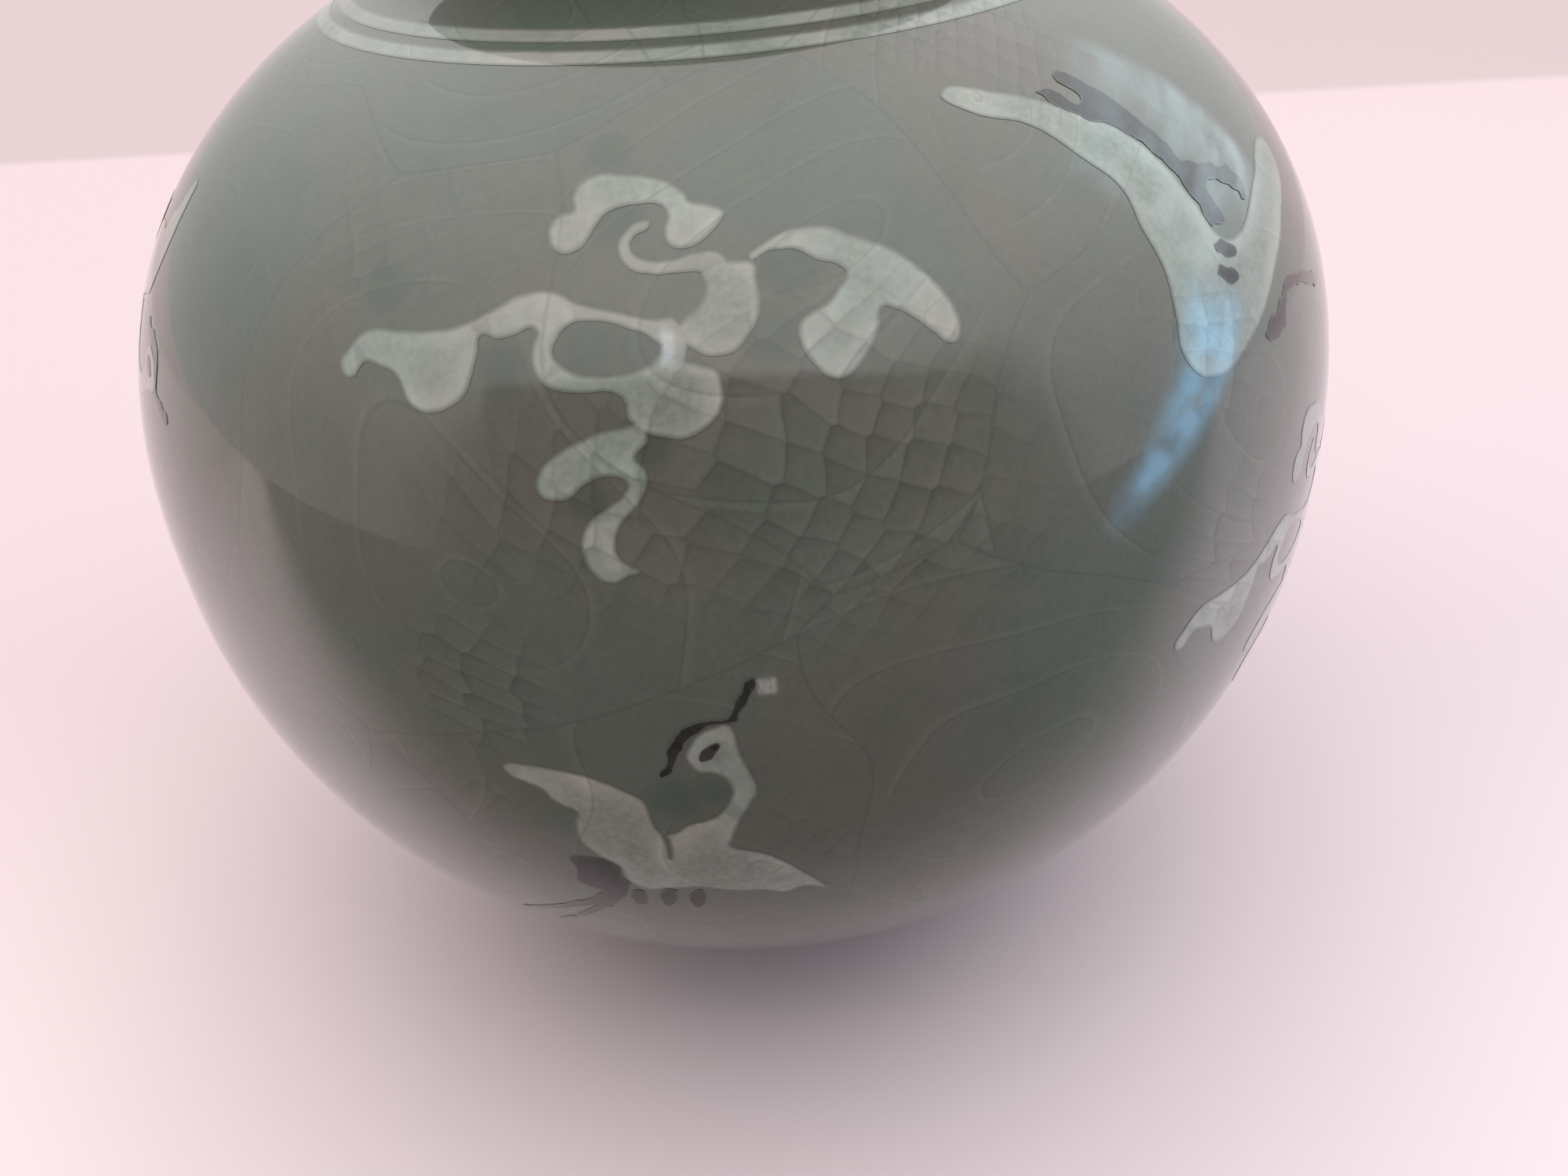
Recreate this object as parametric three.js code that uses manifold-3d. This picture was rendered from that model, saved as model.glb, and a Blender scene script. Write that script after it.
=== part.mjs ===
// A small celadon vase: a thrown stoneware body with a luted neck and foot ring.
// Clouds and cranes are carved into the leather-hard clay and filled with white and black slip.
// Millimetres, +Z up, the foot ring stands on z = 0 and the photographed side faces -Y.

import * as THREE from 'three';
import { mergeVertices } from 'three/addons/utils/BufferGeometryUtils.js';
import { TessellateModifier } from 'three/addons/modifiers/TessellateModifier.js';
import Module from 'manifold-3d';

const wasm = await Module();
wasm.setup();

// Driving dimensions of the thrown shape
const bellyRadius = 45;
const bellyHeight = 41;
const shoulderRise = 39.4;
const shoulderPower = 2.51;
const bellyDrop = 43.1;
const bellyPower = 1.94;
const bodyWall = 4;
const floorThickness = 4.6;

const footRadius = 22;
const footWidth = 3.6;
const footChamfer = 0.5;
const footFlare = 0.4;

const neckBaseRadius = 22.2;
const neckSweepRadius = 20;
const neckSweepRise = 1.8;
const neckWaistRadius = 19.2;
const neckWaistHeight = 80.2;
const neckFlareRadius = 19.5;
const neckFlareHeight = 82;
const lipRadius = 20.6;
const lipHeight = 84.4;
const neckWall = 3;
const lipThickness = 2.2;

// Inlay work
const jointGap = 0.3;
const inlayThickness = 0.6;
const carvedDepth = inlayThickness + jointGap;
const shoulderLineWidth = 0.8;
const shoulderLineRadii = [25.2, 23.5];

// Fineness of the solids
const turns = 48;
const bodyRows = 16;
const cavityRows = 10;
const neckRows = 7;
const longestEdge = 9;
const edgeSplits = 6;
const discSides = 12;
const lipSteps = 4;
const meridianSteps = 600;
const weldDistance = 1e-4;

// An edge grown outwards is not pulled past this share at its sharp corners
const sharpestMitre = 0.6;

const stoneware = () => new THREE.MeshStandardMaterial({ color: 0x868c80, roughness: 0.18, metalness: 0 });
const bareClay = () => new THREE.MeshStandardMaterial({ color: 0x94785f, roughness: 0.85, metalness: 0 });
const whiteSlip = () => new THREE.MeshStandardMaterial({ color: 0xc4c6bb, roughness: 0.2, metalness: 0 });
const blackSlip = () => new THREE.MeshStandardMaterial({ color: 0x39342f, roughness: 0.2, metalness: 0 });

// Radius of the outer surface at a height above (or below) the widest place
function bellyRadiusAt(rise) {
  const reach = rise > 0 ? shoulderRise : bellyDrop;
  const power = rise > 0 ? shoulderPower : bellyPower;
  return bellyRadius * Math.sqrt(1 - Math.abs(rise / reach) ** power);
}

// Height above the widest place where the shoulder or the lower belly has a given radius
function riseAtRadius(radius, reach, power) {
  return reach * (1 - (radius / bellyRadius) ** 2) ** (1 / power);
}

const footRise = -riseAtRadius(footRadius + footFlare, bellyDrop, bellyPower);
const neckRise = riseAtRadius(neckBaseRadius, shoulderRise, shoulderPower);
const seatHeight = bellyHeight + footRise;
const collarHeight = bellyHeight + neckRise;

// The outer meridian from foot to neck, as radius and height, measured along its own length
class OuterMeridian extends THREE.Curve {
  getPoint(t, target = new THREE.Vector2()) {
    const rise = THREE.MathUtils.lerp(footRise, neckRise, t);
    return target.set(bellyRadiusAt(rise), bellyHeight + rise);
  }
}
const meridian = new OuterMeridian();
meridian.arcLengthDivisions = meridianSteps;

// How far along the meridian the surface reaches a given rise
function arcAtRise(rise) {
  const t = (rise - footRise) / (neckRise - footRise);
  const lengths = meridian.getLengths();
  const place = t * meridianSteps;
  const below = Math.min(Math.floor(place), meridianSteps - 1);
  return THREE.MathUtils.lerp(lengths[below], lengths[below + 1], place - below);
}

// The point of the section at an arc length, lifted off the surface by some height
function sectionPoint(arc, lift) {
  const t = meridian.getUtoTmapping(0, arc);
  const point = meridian.getPoint(t);
  const tangent = meridian.getTangent(t);
  return new THREE.Vector2(point.x + tangent.y * lift, point.y - tangent.x * lift);
}

function mergedGeometry(geometry) {
  geometry.deleteAttribute('normal');
  geometry.deleteAttribute('uv');
  return mergeVertices(geometry, weldDistance);
}

// A lathe turns about Y, so it is stood up to turn about Z
function turned(profile) {
  const geometry = new THREE.LatheGeometry(profile, turns);
  geometry.rotateX(Math.PI / 2);
  return mergedGeometry(geometry);
}

function toSolid(geometry) {
  const merged = mergedGeometry(geometry);
  const mesh = new wasm.Mesh({
    numProp: 3,
    vertProperties: new Float32Array(merged.attributes.position.array),
    triVerts: new Uint32Array(merged.index.array),
  });
  mesh.merge();
  return new wasm.Manifold(mesh);
}

function toGeometry(solid) {
  const mesh = solid.getMesh();
  const geometry = new THREE.BufferGeometry();
  geometry.setAttribute('position', new THREE.BufferAttribute(new Float32Array(mesh.vertProperties), 3));
  geometry.setIndex(new THREE.BufferAttribute(new Uint32Array(mesh.triVerts), 1));
  return geometry;
}

// A brush stroke is a row of [along, up, half width] in millimetres, with blunt round ends
function strokeOutline(stroke, margin) {
  const points = stroke.map(([x, y]) => new THREE.Vector2(x, y));
  const widths = stroke.map((point) => point[2] + margin);
  const last = points.length - 1;
  const heading = points.map((point, i) =>
    points[Math.min(i + 1, last)].clone().sub(points[Math.max(i - 1, 0)]).normalize());
  const side = (i, turn) => new THREE.Vector2(widths[i], 0)
    .rotateAround(new THREE.Vector2(), heading[i].angle() + turn).add(points[i]);
  const left = points.map((point, i) => side(i, Math.PI / 2));
  const right = points.map((point, i) => side(i, -Math.PI / 2)).reverse();
  return [...right, side(0, Math.PI), ...left, side(last, 0)];
}

// A path samples a full circle at twice the number asked for, and its last point repeats the first
function discOutline([x, y, radius], margin) {
  const circle = new THREE.Path().absarc(x, y, radius + margin, 0, 2 * Math.PI);
  return circle.getPoints(discSides / 2).slice(0, discSides);
}

// An edge of [along, up] points, moved outwards by a margin
function grownOutline(edge, margin) {
  const points = edge.map(([x, y]) => new THREE.Vector2(x, y));
  const side = Math.sign(THREE.ShapeUtils.area(points));
  const count = points.length;
  const edgeNormal = (i) => {
    const step = points[(i + 1) % count].clone().sub(points[i]).normalize();
    return new THREE.Vector2(step.y, -step.x).multiplyScalar(side);
  };
  return points.map((point, i) => {
    const before = edgeNormal(i === 0 ? count - 1 : i - 1);
    const bisector = before.clone().add(edgeNormal(i)).normalize();
    return bisector.multiplyScalar(margin / Math.max(sharpestMitre, bisector.dot(before))).add(point);
  });
}

// A part of a drawing is a disc, a brush stroke or an edge, told apart by how its points are given
function outlineOf(part, margin) {
  if (part.length === 1) return discOutline(part[0], margin);
  if (part[0].length === 3) return strokeOutline(part, margin);
  return grownOutline(part, margin);
}

function slabOf(part, margin, low, high) {
  const shape = new THREE.Shape(outlineOf(part, margin));
  const slab = new THREE.ExtrudeGeometry(shape, { depth: high - low, bevelEnabled: false });
  return toSolid(slab.translate(0, 0, low));
}

// The flat slab of one inlay: its parts joined and its openings cut, between two heights over the surface
function flatSlab({ parts, openings = [] }, margin, low, high) {
  const slabs = parts.map((part) => slabOf(part, margin, low, high));
  const holes = openings.map((opening) => slabOf(opening, -margin, low - 1, high + 1));
  const joined = slabs.reduce((all, slab) => all.add(slab));
  return holes.reduce((rest, hole) => rest.subtract(hole), joined);
}

// Bends a flat slab round the belly: across follows the parallel, up follows the meridian
function wrapped(slab, place) {
  const fine = new TessellateModifier(longestEdge, edgeSplits).modify(toGeometry(slab).toNonIndexed());
  const position = fine.attributes.position;
  const centreArc = arcAtRise(place.rise);
  const turn = THREE.MathUtils.degToRad(place.turn);
  const azimuth = THREE.MathUtils.degToRad(place.azimuth);
  const centre = new THREE.Vector2();
  for (let i = 0; i < position.count; i += 1) {
    const flat = new THREE.Vector2(position.getX(i), position.getY(i)).rotateAround(centre, turn);
    const arc = centreArc + flat.y;
    const across = sectionPoint(arc, 0).x;
    const section = sectionPoint(arc, position.getZ(i));
    const angle = azimuth + flat.x / across;
    position.setXYZ(i, section.x * Math.sin(angle), -section.x * Math.cos(angle), section.y);
  }
  return toSolid(fine);
}

// The scrolling cloud: a long left arm that closes a ring, a curled crown, a hooked right arm and a tail
const cloud = {
  parts: [
    [[-17.9, -0.3], [-17.3, 0.7], [-15.6, 1.7], [-11.2, 2.5], [-7.3, 4.2], [-5, 4.4], [-2.4, 3.4],
      [-0.4, 2.8], [0.9, 2.9], [0.9, 0.4], [-0.4, -1], [-1.6, -1.9], [-2.6, -0.5], [-4.1, -0.85],
      [-6.2, 0], [-6.8, 1.7], [-6.6, 2.4], [-8, 2], [-9.2, 2.1], [-10.2, -0.5], [-11.4, -1.75],
      [-12.9, -1.9], [-14.2, -0.4], [-16.2, -0.3], [-17.3, -0.8]],
    [[2.4, 5.1, 0.5], [1, 5.6, 0.35], [-0.6, 5.5, 0.28], [-1.6, 6.1, 0.32], [-1.65, 7.1, 0.32],
      [-0.5, 7.9, 0.3], [0.4, 7.9, 0.4]],
    [[-5.7, 7.4], [-4.8, 6.4], [-3.8, 6.8], [-2.8, 8.4], [-1.2, 8.95], [0.2, 8.5], [1.6, 8.4], [0.4, 9.9],
      [-1.8, 10.5], [-3.6, 10.65], [-4.5, 9.8], [-4.6, 8.8]],
    [[0.2, 8.7], [-0.3, 7.6], [1.1, 6.25], [2.2, 6.9], [3.1, 8.2], [1.2, 9.2]],
    [[0.6, 2.9], [0.8, 1.5], [1.8, 0.9], [3.2, 0.95], [4.3, 1.8], [4.65, 3.2], [4.4, 4.8], [3.4, 5.65],
      [2, 5.5], [1.8, 3.9]],
    [[3.5, 5.3], [4.3, 4.7], [5.8, 5.9], [6.9, 5.2], [8.6, 4.5], [7.9, 3], [6.5, 2.1], [7.1, 0],
      [8.2, -0.85], [9.5, -0.3], [10.7, 2.3], [12.5, 1.5], [13.5, 0.4], [14.3, -0.25], [14.7, 0.6],
      [14.3, 1.9], [12.4, 4.5], [8.6, 6.5], [7, 6.9], [5.2, 6.3]],
    [[0.85, -1.05, 1.85]],
    [[0.4, -1.4], [-1.5, -2.1], [-5.4, -3.05], [-6.6, -4], [-6.9, -5.2], [-6.2, -5.9], [-5.2, -5.5],
      [-4, -4.6], [-2.7, -4.5], [-2.2, -5.1], [-4.2, -6.8], [-4.85, -8], [-4.6, -9.2], [-3.5, -9.95],
      [-1.9, -9.3], [-2.8, -8.6], [-3, -7.6], [-1.4, -5.7], [-1.2, -4.5], [-1.8, -3.6], [-1, -2.5],
      [0.4, -2.4]],
  ],
  openings: [
    [[-5.5, 1.3], [-4.7, 2.5], [-3.4, 2.85], [-2, 2.65], [-0.2, 1.7], [-0.7, 0.5], [-2.5, 0.1],
      [-4.4, 0.25]],
  ],
};

// The flying crane: white plumage, and its black crest and bill, eye, tail with legs, and wing feathers
const craneWhite = {
  parts: [
    [[-8.4, 4], [-4.5, 3.9], [-1, 2.4], [0.2, 0.4], [0.9, -0.9], [3.8, 1.1], [4.6, 2.6], [4.4, 3.8],
      [3, 4.4], [2.3, 5.6], [3, 6.9], [4.9, 7.2], [5.4, 5.6], [6.1, 2.8], [5.2, 0.4], [3.9, -1.8],
      [6.4, -3.5], [8.2, -5.7], [9.3, -8.3], [8, -7.4], [5, -7.6], [-0.4, -6.6], [-1.6, -7], [-2.7, -5.6],
      [-3.2, -3.6], [-4.7, -1.8], [-4.7, 0.2], [-6, 1.7], [-8.4, 3.4]],
  ],
};
const craneBlack = {
  crest: { parts: [[[1, 4.1, 0.32], [2, 6.3, 0.36], [3.2, 7.5, 0.36], [5, 7.9, 0.34], [5.6, 9.1, 0.34],
    [6.2, 10.1, 0.26]]] },
  eye: { parts: [[[3.4, 5.3, 0.34], [3.95, 6, 0.34]]] },
  tail: { parts: [
    [[-3.6, -4.2], [-4.9, -3.6], [-5.9, -5], [-5.7, -6.2], [-4.9, -6.2], [-4.9, -8.1], [-8.2, -10.5],
      [-12.6, -14.9], [-12.2, -15.3], [-5.7, -9.6], [-9.6, -15.4], [-9.1, -15.7], [-4, -8.7], [-3, -9.1],
      [-2.8, -7.6], [-3.9, -7], [-3.2, -5.2]],
  ] },
  feather_1: { parts: [[[-1.8, -7.9, 0.36], [-2.2, -9.1, 0.32]]] },
  feather_2: { parts: [[[-0.1, -7.6, 0.38], [-0.6, -8.9, 0.32]]] },
  feather_3: { parts: [[[1.8, -7.7, 0.38], [1.3, -8.8, 0.32]]] },
};

// The soaring crane of the right shoulder, with one wing raised and its long black flight feathers
const soaringWhite = {
  parts: [
    [[-8.8, 12.5], [-8.6, 11.5], [-6, 9.6], [-4.2, 6.6], [-3.4, 3.4], [-3.7, -1.2], [-4.3, -4.4],
      [-2.8, -6.4], [2.4, -5.8], [7.4, -3.5], [11, -1.8], [15.4, 1.2], [14.8, 2.4], [9, 1.2], [4, -0.6],
      [0.8, -0.8], [0.6, 3.4], [-0.8, 7], [-3.4, 10.2], [-6, 12]],
  ],
};
const soaringBlack = {
  flight_row: { parts: [
    [[-3.7, 11.8], [-2.9, 9.8], [-0.6, 8], [1.2, 5], [2, 2], [2.3, 0.8], [3.4, 0.8], [3.8, 3], [5.3, 2.5],
      [6.5, 1.6], [6.9, 0.9], [7.6, 2.3], [5.6, 3.7], [3.2, 4.6], [1.7, 7.6], [-0.3, 11.2], [-1.7, 12.5],
      [-2, 11.9], [-1.4, 10.3]],
  ] },
  feather_1: { parts: [[[1.9, -0.3, 0.38], [3, -1, 0.36]]] },
  feather_2: { parts: [[[1.2, -1.6, 0.36], [2.3, -2.3, 0.4]]] },
  crest: { parts: [[[4.4, -6.4, 0.5], [6, -6.3, 0.6], [7.8, -5.1, 0.36], [11, -5.5, 0.36],
    [14.8, -7.1, 0.3]]] },
};

// Where the motifs lie: azimuth from the front, rise over the widest place, turn on the surface
const clouds = [
  { name: 'cloud_shoulder_front', azimuth: -4, rise: 22.5, turn: 0 },
  { name: 'cloud_shoulder_right', azimuth: 112, rise: 22.5, turn: 4 },
  { name: 'cloud_shoulder_left', azimuth: 238, rise: 22.5, turn: -4 },
  { name: 'cloud_belly_right', azimuth: 56, rise: -0.5, turn: -8 },
  { name: 'cloud_belly_back', azimuth: 196, rise: -1.5, turn: 3 },
];
const cranes = [
  { name: 'crane_belly_front', azimuth: -8, rise: -2.25, turn: 0 },
  { name: 'crane_belly_right', azimuth: 125, rise: -2.25, turn: 6 },
  { name: 'crane_belly_left', azimuth: 266, rise: -2.25, turn: -6 },
  { name: 'crane_shoulder_left', azimuth: -68, rise: 20, turn: -81 },
  { name: 'crane_shoulder_back', azimuth: 176, rise: 20, turn: -60 },
];
const soaringCrane = { name: 'crane_shoulder_right', azimuth: 42, rise: 22.5, turn: 0 };

// One row for each inlaid piece: its name, its drawing, its slip and its place
function inlayList() {
  const list = clouds.map((place) => ({ name: place.name, drawing: cloud, slip: whiteSlip, place }));
  const flock = cranes.map((place) => ({ place, white: craneWhite, black: craneBlack }));
  flock.push({ place: soaringCrane, white: soaringWhite, black: soaringBlack });
  for (const { place, white, black } of flock) {
    const name = `${place.name}_plumage`;
    list.push({ name, drawing: white, cutBy: Object.values(black), slip: whiteSlip, place });
    for (const [mark, drawing] of Object.entries(black)) {
      list.push({ name: `${place.name}_${mark}`, drawing, slip: blackSlip, place });
    }
  }
  return list;
}

// A white piece gives way to the black pieces that are let into it
function inlaySlab({ drawing, cutBy = [] }) {
  const slab = flatSlab(drawing, 0, -inlayThickness, 0);
  return cutBy.reduce((rest, black) =>
    rest.subtract(flatSlab(black, jointGap, -carvedDepth, jointGap)), slab);
}

function carvedRecess({ drawing, place }) {
  return wrapped(flatSlab(drawing, jointGap, -carvedDepth, 1), place);
}

function lineProfile(radius, margin, low, high) {
  const arc = arcAtRise(riseAtRadius(radius, shoulderRise, shoulderPower));
  const half = shoulderLineWidth / 2 + margin;
  const corners = [[-half, low], [half, low], [half, high], [-half, high], [-half, low]];
  return corners.map(([offset, lift]) => sectionPoint(arc + offset, lift)).reverse();
}

// Outside the true section, and inside a smaller copy of it that leaves the wall
function bodyProfile() {
  const outer = meridian.getSpacedPoints(bodyRows);
  const cavity = [new THREE.Vector2(neckBaseRadius - neckWall, collarHeight)];
  const cavityFloor = seatHeight + floorThickness;
  const scale = 1 - bodyWall / bellyRadius;
  for (let i = 1; i <= cavityRows; i += 1) {
    const share = (1 - Math.cos(Math.PI * i / cavityRows)) / 2;
    const height = THREE.MathUtils.lerp(collarHeight, cavityFloor, share);
    const outerRise = Math.min((height - bellyHeight) / scale, neckRise);
    cavity.push(new THREE.Vector2(bellyRadiusAt(outerRise) * scale, height));
  }
  return [new THREE.Vector2(0, seatHeight), ...outer, ...cavity, new THREE.Vector2(0, cavityFloor)];
}

function bodyShell(inlays) {
  let body = toSolid(turned(bodyProfile()));
  for (const radius of shoulderLineRadii) {
    body = body.subtract(toSolid(turned(lineProfile(radius, jointGap, -carvedDepth, 1))));
  }
  for (const inlay of inlays) body = body.subtract(carvedRecess(inlay));
  return toGeometry(body);
}

// A neck drawn in to its waist and flared to a mouth with a rounded lip
function neckCollar() {
  const bottom = collarHeight + jointGap;
  const lipRound = lipThickness / 2;
  const outer = new THREE.SplineCurve([
    new THREE.Vector2(neckBaseRadius, bottom),
    new THREE.Vector2(neckSweepRadius, bottom + neckSweepRise),
    new THREE.Vector2(neckWaistRadius, neckWaistHeight),
    new THREE.Vector2(neckFlareRadius, neckFlareHeight),
    new THREE.Vector2(lipRadius, lipHeight - lipRound),
  ]).getPoints(neckRows);
  const inner = outer.map((point, i) => {
    const wall = THREE.MathUtils.lerp(neckWall, lipThickness, i / neckRows);
    return new THREE.Vector2(point.x - wall, point.y);
  }).reverse();
  const lip = new THREE.Path().absarc(lipRadius - lipRound, lipHeight - lipRound, lipRound, 0, Math.PI);
  const lipPoints = lip.getPoints(lipSteps / 2).slice(1, -1);
  return turned([...outer, ...lipPoints, ...inner, outer[0].clone()]);
}

// A low ring, wider at the top, with its edges chamfered where it stands
function footRing() {
  const top = seatHeight - jointGap;
  const innerRadius = footRadius - footWidth;
  return turned([
    new THREE.Vector2(innerRadius + footChamfer, 0),
    new THREE.Vector2(footRadius - footChamfer, 0),
    new THREE.Vector2(footRadius, footChamfer),
    new THREE.Vector2(footRadius + footFlare, top),
    new THREE.Vector2(innerRadius - footFlare, top),
    new THREE.Vector2(innerRadius, footChamfer),
    new THREE.Vector2(innerRadius + footChamfer, 0),
  ]);
}

function named(name, geometry, material) {
  const mesh = new THREE.Mesh(geometry, material);
  mesh.name = name;
  return mesh;
}

const vase = new THREE.Group();
const inlays = inlayList();
vase.add(named('body_shell', bodyShell(inlays), stoneware()));
vase.add(named('neck_collar', neckCollar(), stoneware()));
vase.add(named('foot_ring', footRing(), bareClay()));
shoulderLineRadii.forEach((radius, i) => {
  const ring = turned(lineProfile(radius, 0, -inlayThickness, 0));
  vase.add(named(`shoulder_line_${i + 1}`, ring, whiteSlip()));
});
for (const inlay of inlays) {
  vase.add(named(inlay.name, toGeometry(wrapped(inlaySlab(inlay), inlay.place)), inlay.slip()));
}

export default vase;
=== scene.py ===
# %% [markdown]
# A small inlaid celadon vase. The potter throws a round body in grey stoneware, lutes a neck and a
# foot ring to it, carves clouds and cranes into the leather-hard clay, fills the carving with white
# and black slip, and fires it all under one glossy green-grey glaze that crackles as it cools.
# The packed model is the frame: its nodes have the true sizes and never move. Every piece made here
# takes its size from it, in metres, with +Z up and the photographed side facing -Y.

# %% Load the frame
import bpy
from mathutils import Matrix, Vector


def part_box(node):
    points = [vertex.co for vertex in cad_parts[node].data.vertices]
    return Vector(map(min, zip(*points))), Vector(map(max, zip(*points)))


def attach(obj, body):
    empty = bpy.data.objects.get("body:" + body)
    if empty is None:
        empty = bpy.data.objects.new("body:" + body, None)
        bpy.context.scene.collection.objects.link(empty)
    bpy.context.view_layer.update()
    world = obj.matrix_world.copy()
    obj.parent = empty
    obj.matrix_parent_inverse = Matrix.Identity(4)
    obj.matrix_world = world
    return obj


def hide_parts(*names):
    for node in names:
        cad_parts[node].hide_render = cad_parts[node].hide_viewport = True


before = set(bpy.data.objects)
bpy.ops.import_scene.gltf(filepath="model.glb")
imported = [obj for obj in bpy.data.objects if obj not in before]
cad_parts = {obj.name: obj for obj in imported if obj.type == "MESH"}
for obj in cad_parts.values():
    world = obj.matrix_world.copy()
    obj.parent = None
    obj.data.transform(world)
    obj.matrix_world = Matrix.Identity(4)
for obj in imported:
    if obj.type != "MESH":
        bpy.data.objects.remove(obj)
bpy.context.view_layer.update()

# %% Tools and units
import math

import bpy
from mathutils import Matrix, Vector, kdtree, noise

MM = 0.001
scene = bpy.context.scene
print("nodes in the frame:", len(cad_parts))

# %% [markdown]
# The thrown shape is read from the frame: the belly's radius, the height of the seat, and the lip.
# Only the two powers that round the shoulder and the lower belly, their reaches and the height of
# the widest place are repeated from the part's own dimensions.

# %% Sizes of the thrown shape
body_low, body_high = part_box("body_shell")
neck_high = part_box("neck_collar")[1]
belly_radius = (body_high[0] - body_low[0]) / 2
seat_height = body_low[2]
lip_height = neck_high[2]
lip_radius = neck_high[0]
foot_radius = 22 * MM
waist_radius, waist_height = 19.2 * MM, 80.2 * MM
belly_height = 41 * MM
shoulder_rise, shoulder_power = 39.4 * MM, 2.51
belly_drop, belly_power = 43.1 * MM, 1.94
body_wall, floor_thickness = 4 * MM, 4.6 * MM
joint_radius = 22.9 * MM
print("belly radius", round(belly_radius / MM, 2), "mm, lip at", round(lip_height / MM, 2), "mm")


def belly_radius_at(height):
    """Radius of the outside at a height above the table."""
    rise = height - belly_height
    reach, power = (shoulder_rise, shoulder_power) if rise > 0 else (belly_drop, belly_power)
    return belly_radius * math.sqrt(max(0.0, 1 - abs(rise / reach) ** power))


def shoulder_height_at(radius):
    """Height at which the shoulder has a radius."""
    return belly_height + shoulder_rise * (1 - (radius / belly_radius) ** 2) ** (1 / shoulder_power)


def belly_height_at(radius):
    """Height at which the lower belly has a radius."""
    return belly_height - belly_drop * (1 - (radius / belly_radius) ** 2) ** (1 / belly_power)


def outside_radius(height):
    """Radius of the whole outside: foot, belly, then neck."""
    if height < belly_height_at(foot_radius):
        return foot_radius
    if height < shoulder_height_at(joint_radius):
        return belly_radius_at(height)
    return waist_radius


# %% [markdown]
# A measured line up the outside, from table to lip, serves two ends. Its plain length places the
# inlaid drawings, which are flat on the bench: across becomes an arc round the belly, and up becomes
# a length along this line. A second length grows faster where the vase is narrow, by just as much as
# the girth shrinks, so that a pattern drawn on the pair of them keeps its shape up to the neck. The
# crackle runs on it.

# %% The outside measured along its own length
LINE_STEPS = 1600
line_heights = [lip_height * step / LINE_STEPS for step in range(LINE_STEPS + 1)]
line_lengths, line_evened = [0.0], [0.0]
for below, above in zip(line_heights, line_heights[1:]):
    stride = math.hypot(outside_radius(above) - outside_radius(below), above - below)
    line_lengths.append(line_lengths[-1] + stride)
    line_evened.append(line_evened[-1] + stride * belly_radius / outside_radius((below + above) / 2))
print("table to lip along the surface:", round(line_lengths[-1] / MM, 1), "mm")


def between(value, sources, targets):
    """The target beside a value in two rising lists, on a straight line between rows."""
    low, high = 0, len(sources) - 1
    while high - low > 1:
        middle = (low + high) // 2
        low, high = (middle, high) if sources[middle] <= value else (low, middle)
    share = (value - sources[low]) / (sources[high] - sources[low])
    return targets[low] + (targets[high] - targets[low]) * share


def length_at(height):
    return between(height, line_heights, line_lengths)


def height_at(length):
    return between(length, line_lengths, line_heights)


def section_normal(height):
    """Outward direction of the belly's section at a height, as (radial, up)."""
    step = 0.05 * MM
    lean = (belly_radius_at(height + step) - belly_radius_at(height - step)) / (2 * step)
    size = math.hypot(1, lean)
    return 1 / size, -lean / size


def on_section(length, lift):
    """The point of the belly's section at a length along the outside, lifted off it."""
    height = height_at(length)
    out, up = section_normal(height)
    return belly_radius_at(height) + out * lift, height + up * lift


def on_belly(azimuth, rise, across=0.0, up=0.0, lift=0.0):
    """The point of the belly at a bearing from the front and a rise above the widest place."""
    length = length_at(belly_height + rise) + up
    radius, height = on_section(length, lift)
    angle = azimuth + across / belly_radius_at(height_at(length))
    return Vector((radius * math.sin(angle), -radius * math.cos(angle), height))


# %% [markdown]
# The camera stands very close, about 6 cm from the wall, a little above the shoulder, and looks down.
# Its place was found by fitting the belly's outline and the two shoulder lines. It comes first,
# because everything else is judged through it.

# %% Camera
look_down = math.radians(36.33)
camera_roll = math.radians(-4.84)
camera_distance = 102.2 * MM
camera_right, camera_up = 2.06 * MM, -15.48 * MM
lens_share = 1530 / 2000

backwards = Vector((0, -math.cos(look_down), math.sin(look_down)))
level_right = Vector((1, 0, 0))
level_up = Vector((0, math.sin(look_down), math.cos(look_down)))
picture_right = level_right * math.cos(camera_roll) + level_up * math.sin(camera_roll)
picture_up = level_up * math.cos(camera_roll) - level_right * math.sin(camera_roll)
camera_place = backwards * camera_distance + level_right * camera_right + level_up * camera_up
camera_place.z += belly_height

camera_data = bpy.data.cameras.new("camera")
camera_data.sensor_width = 36
camera_data.lens = camera_data.sensor_width * lens_share
camera_data.clip_start = 5 * MM
camera = bpy.data.objects.new("camera", camera_data)
scene.collection.objects.link(camera)
turn = Matrix((picture_right, picture_up, backwards)).transposed().to_4x4()
camera.matrix_world = Matrix.Translation(camera_place) @ turn
scene.camera = camera
scene.view_settings.view_transform = "Standard"
print("lens", round(camera_data.lens, 2), "mm, camera at", [round(v / MM, 1) for v in camera_place], "mm")

# %% [markdown]
# Shader maths is easier to read as an expression than as a wall of nodes. This small class wraps one
# socket, and its operators add Math nodes. A nodes sheet adds any other node by its type, its
# settings and its inputs. A finish is a sheet with one material and one shader.


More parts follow.
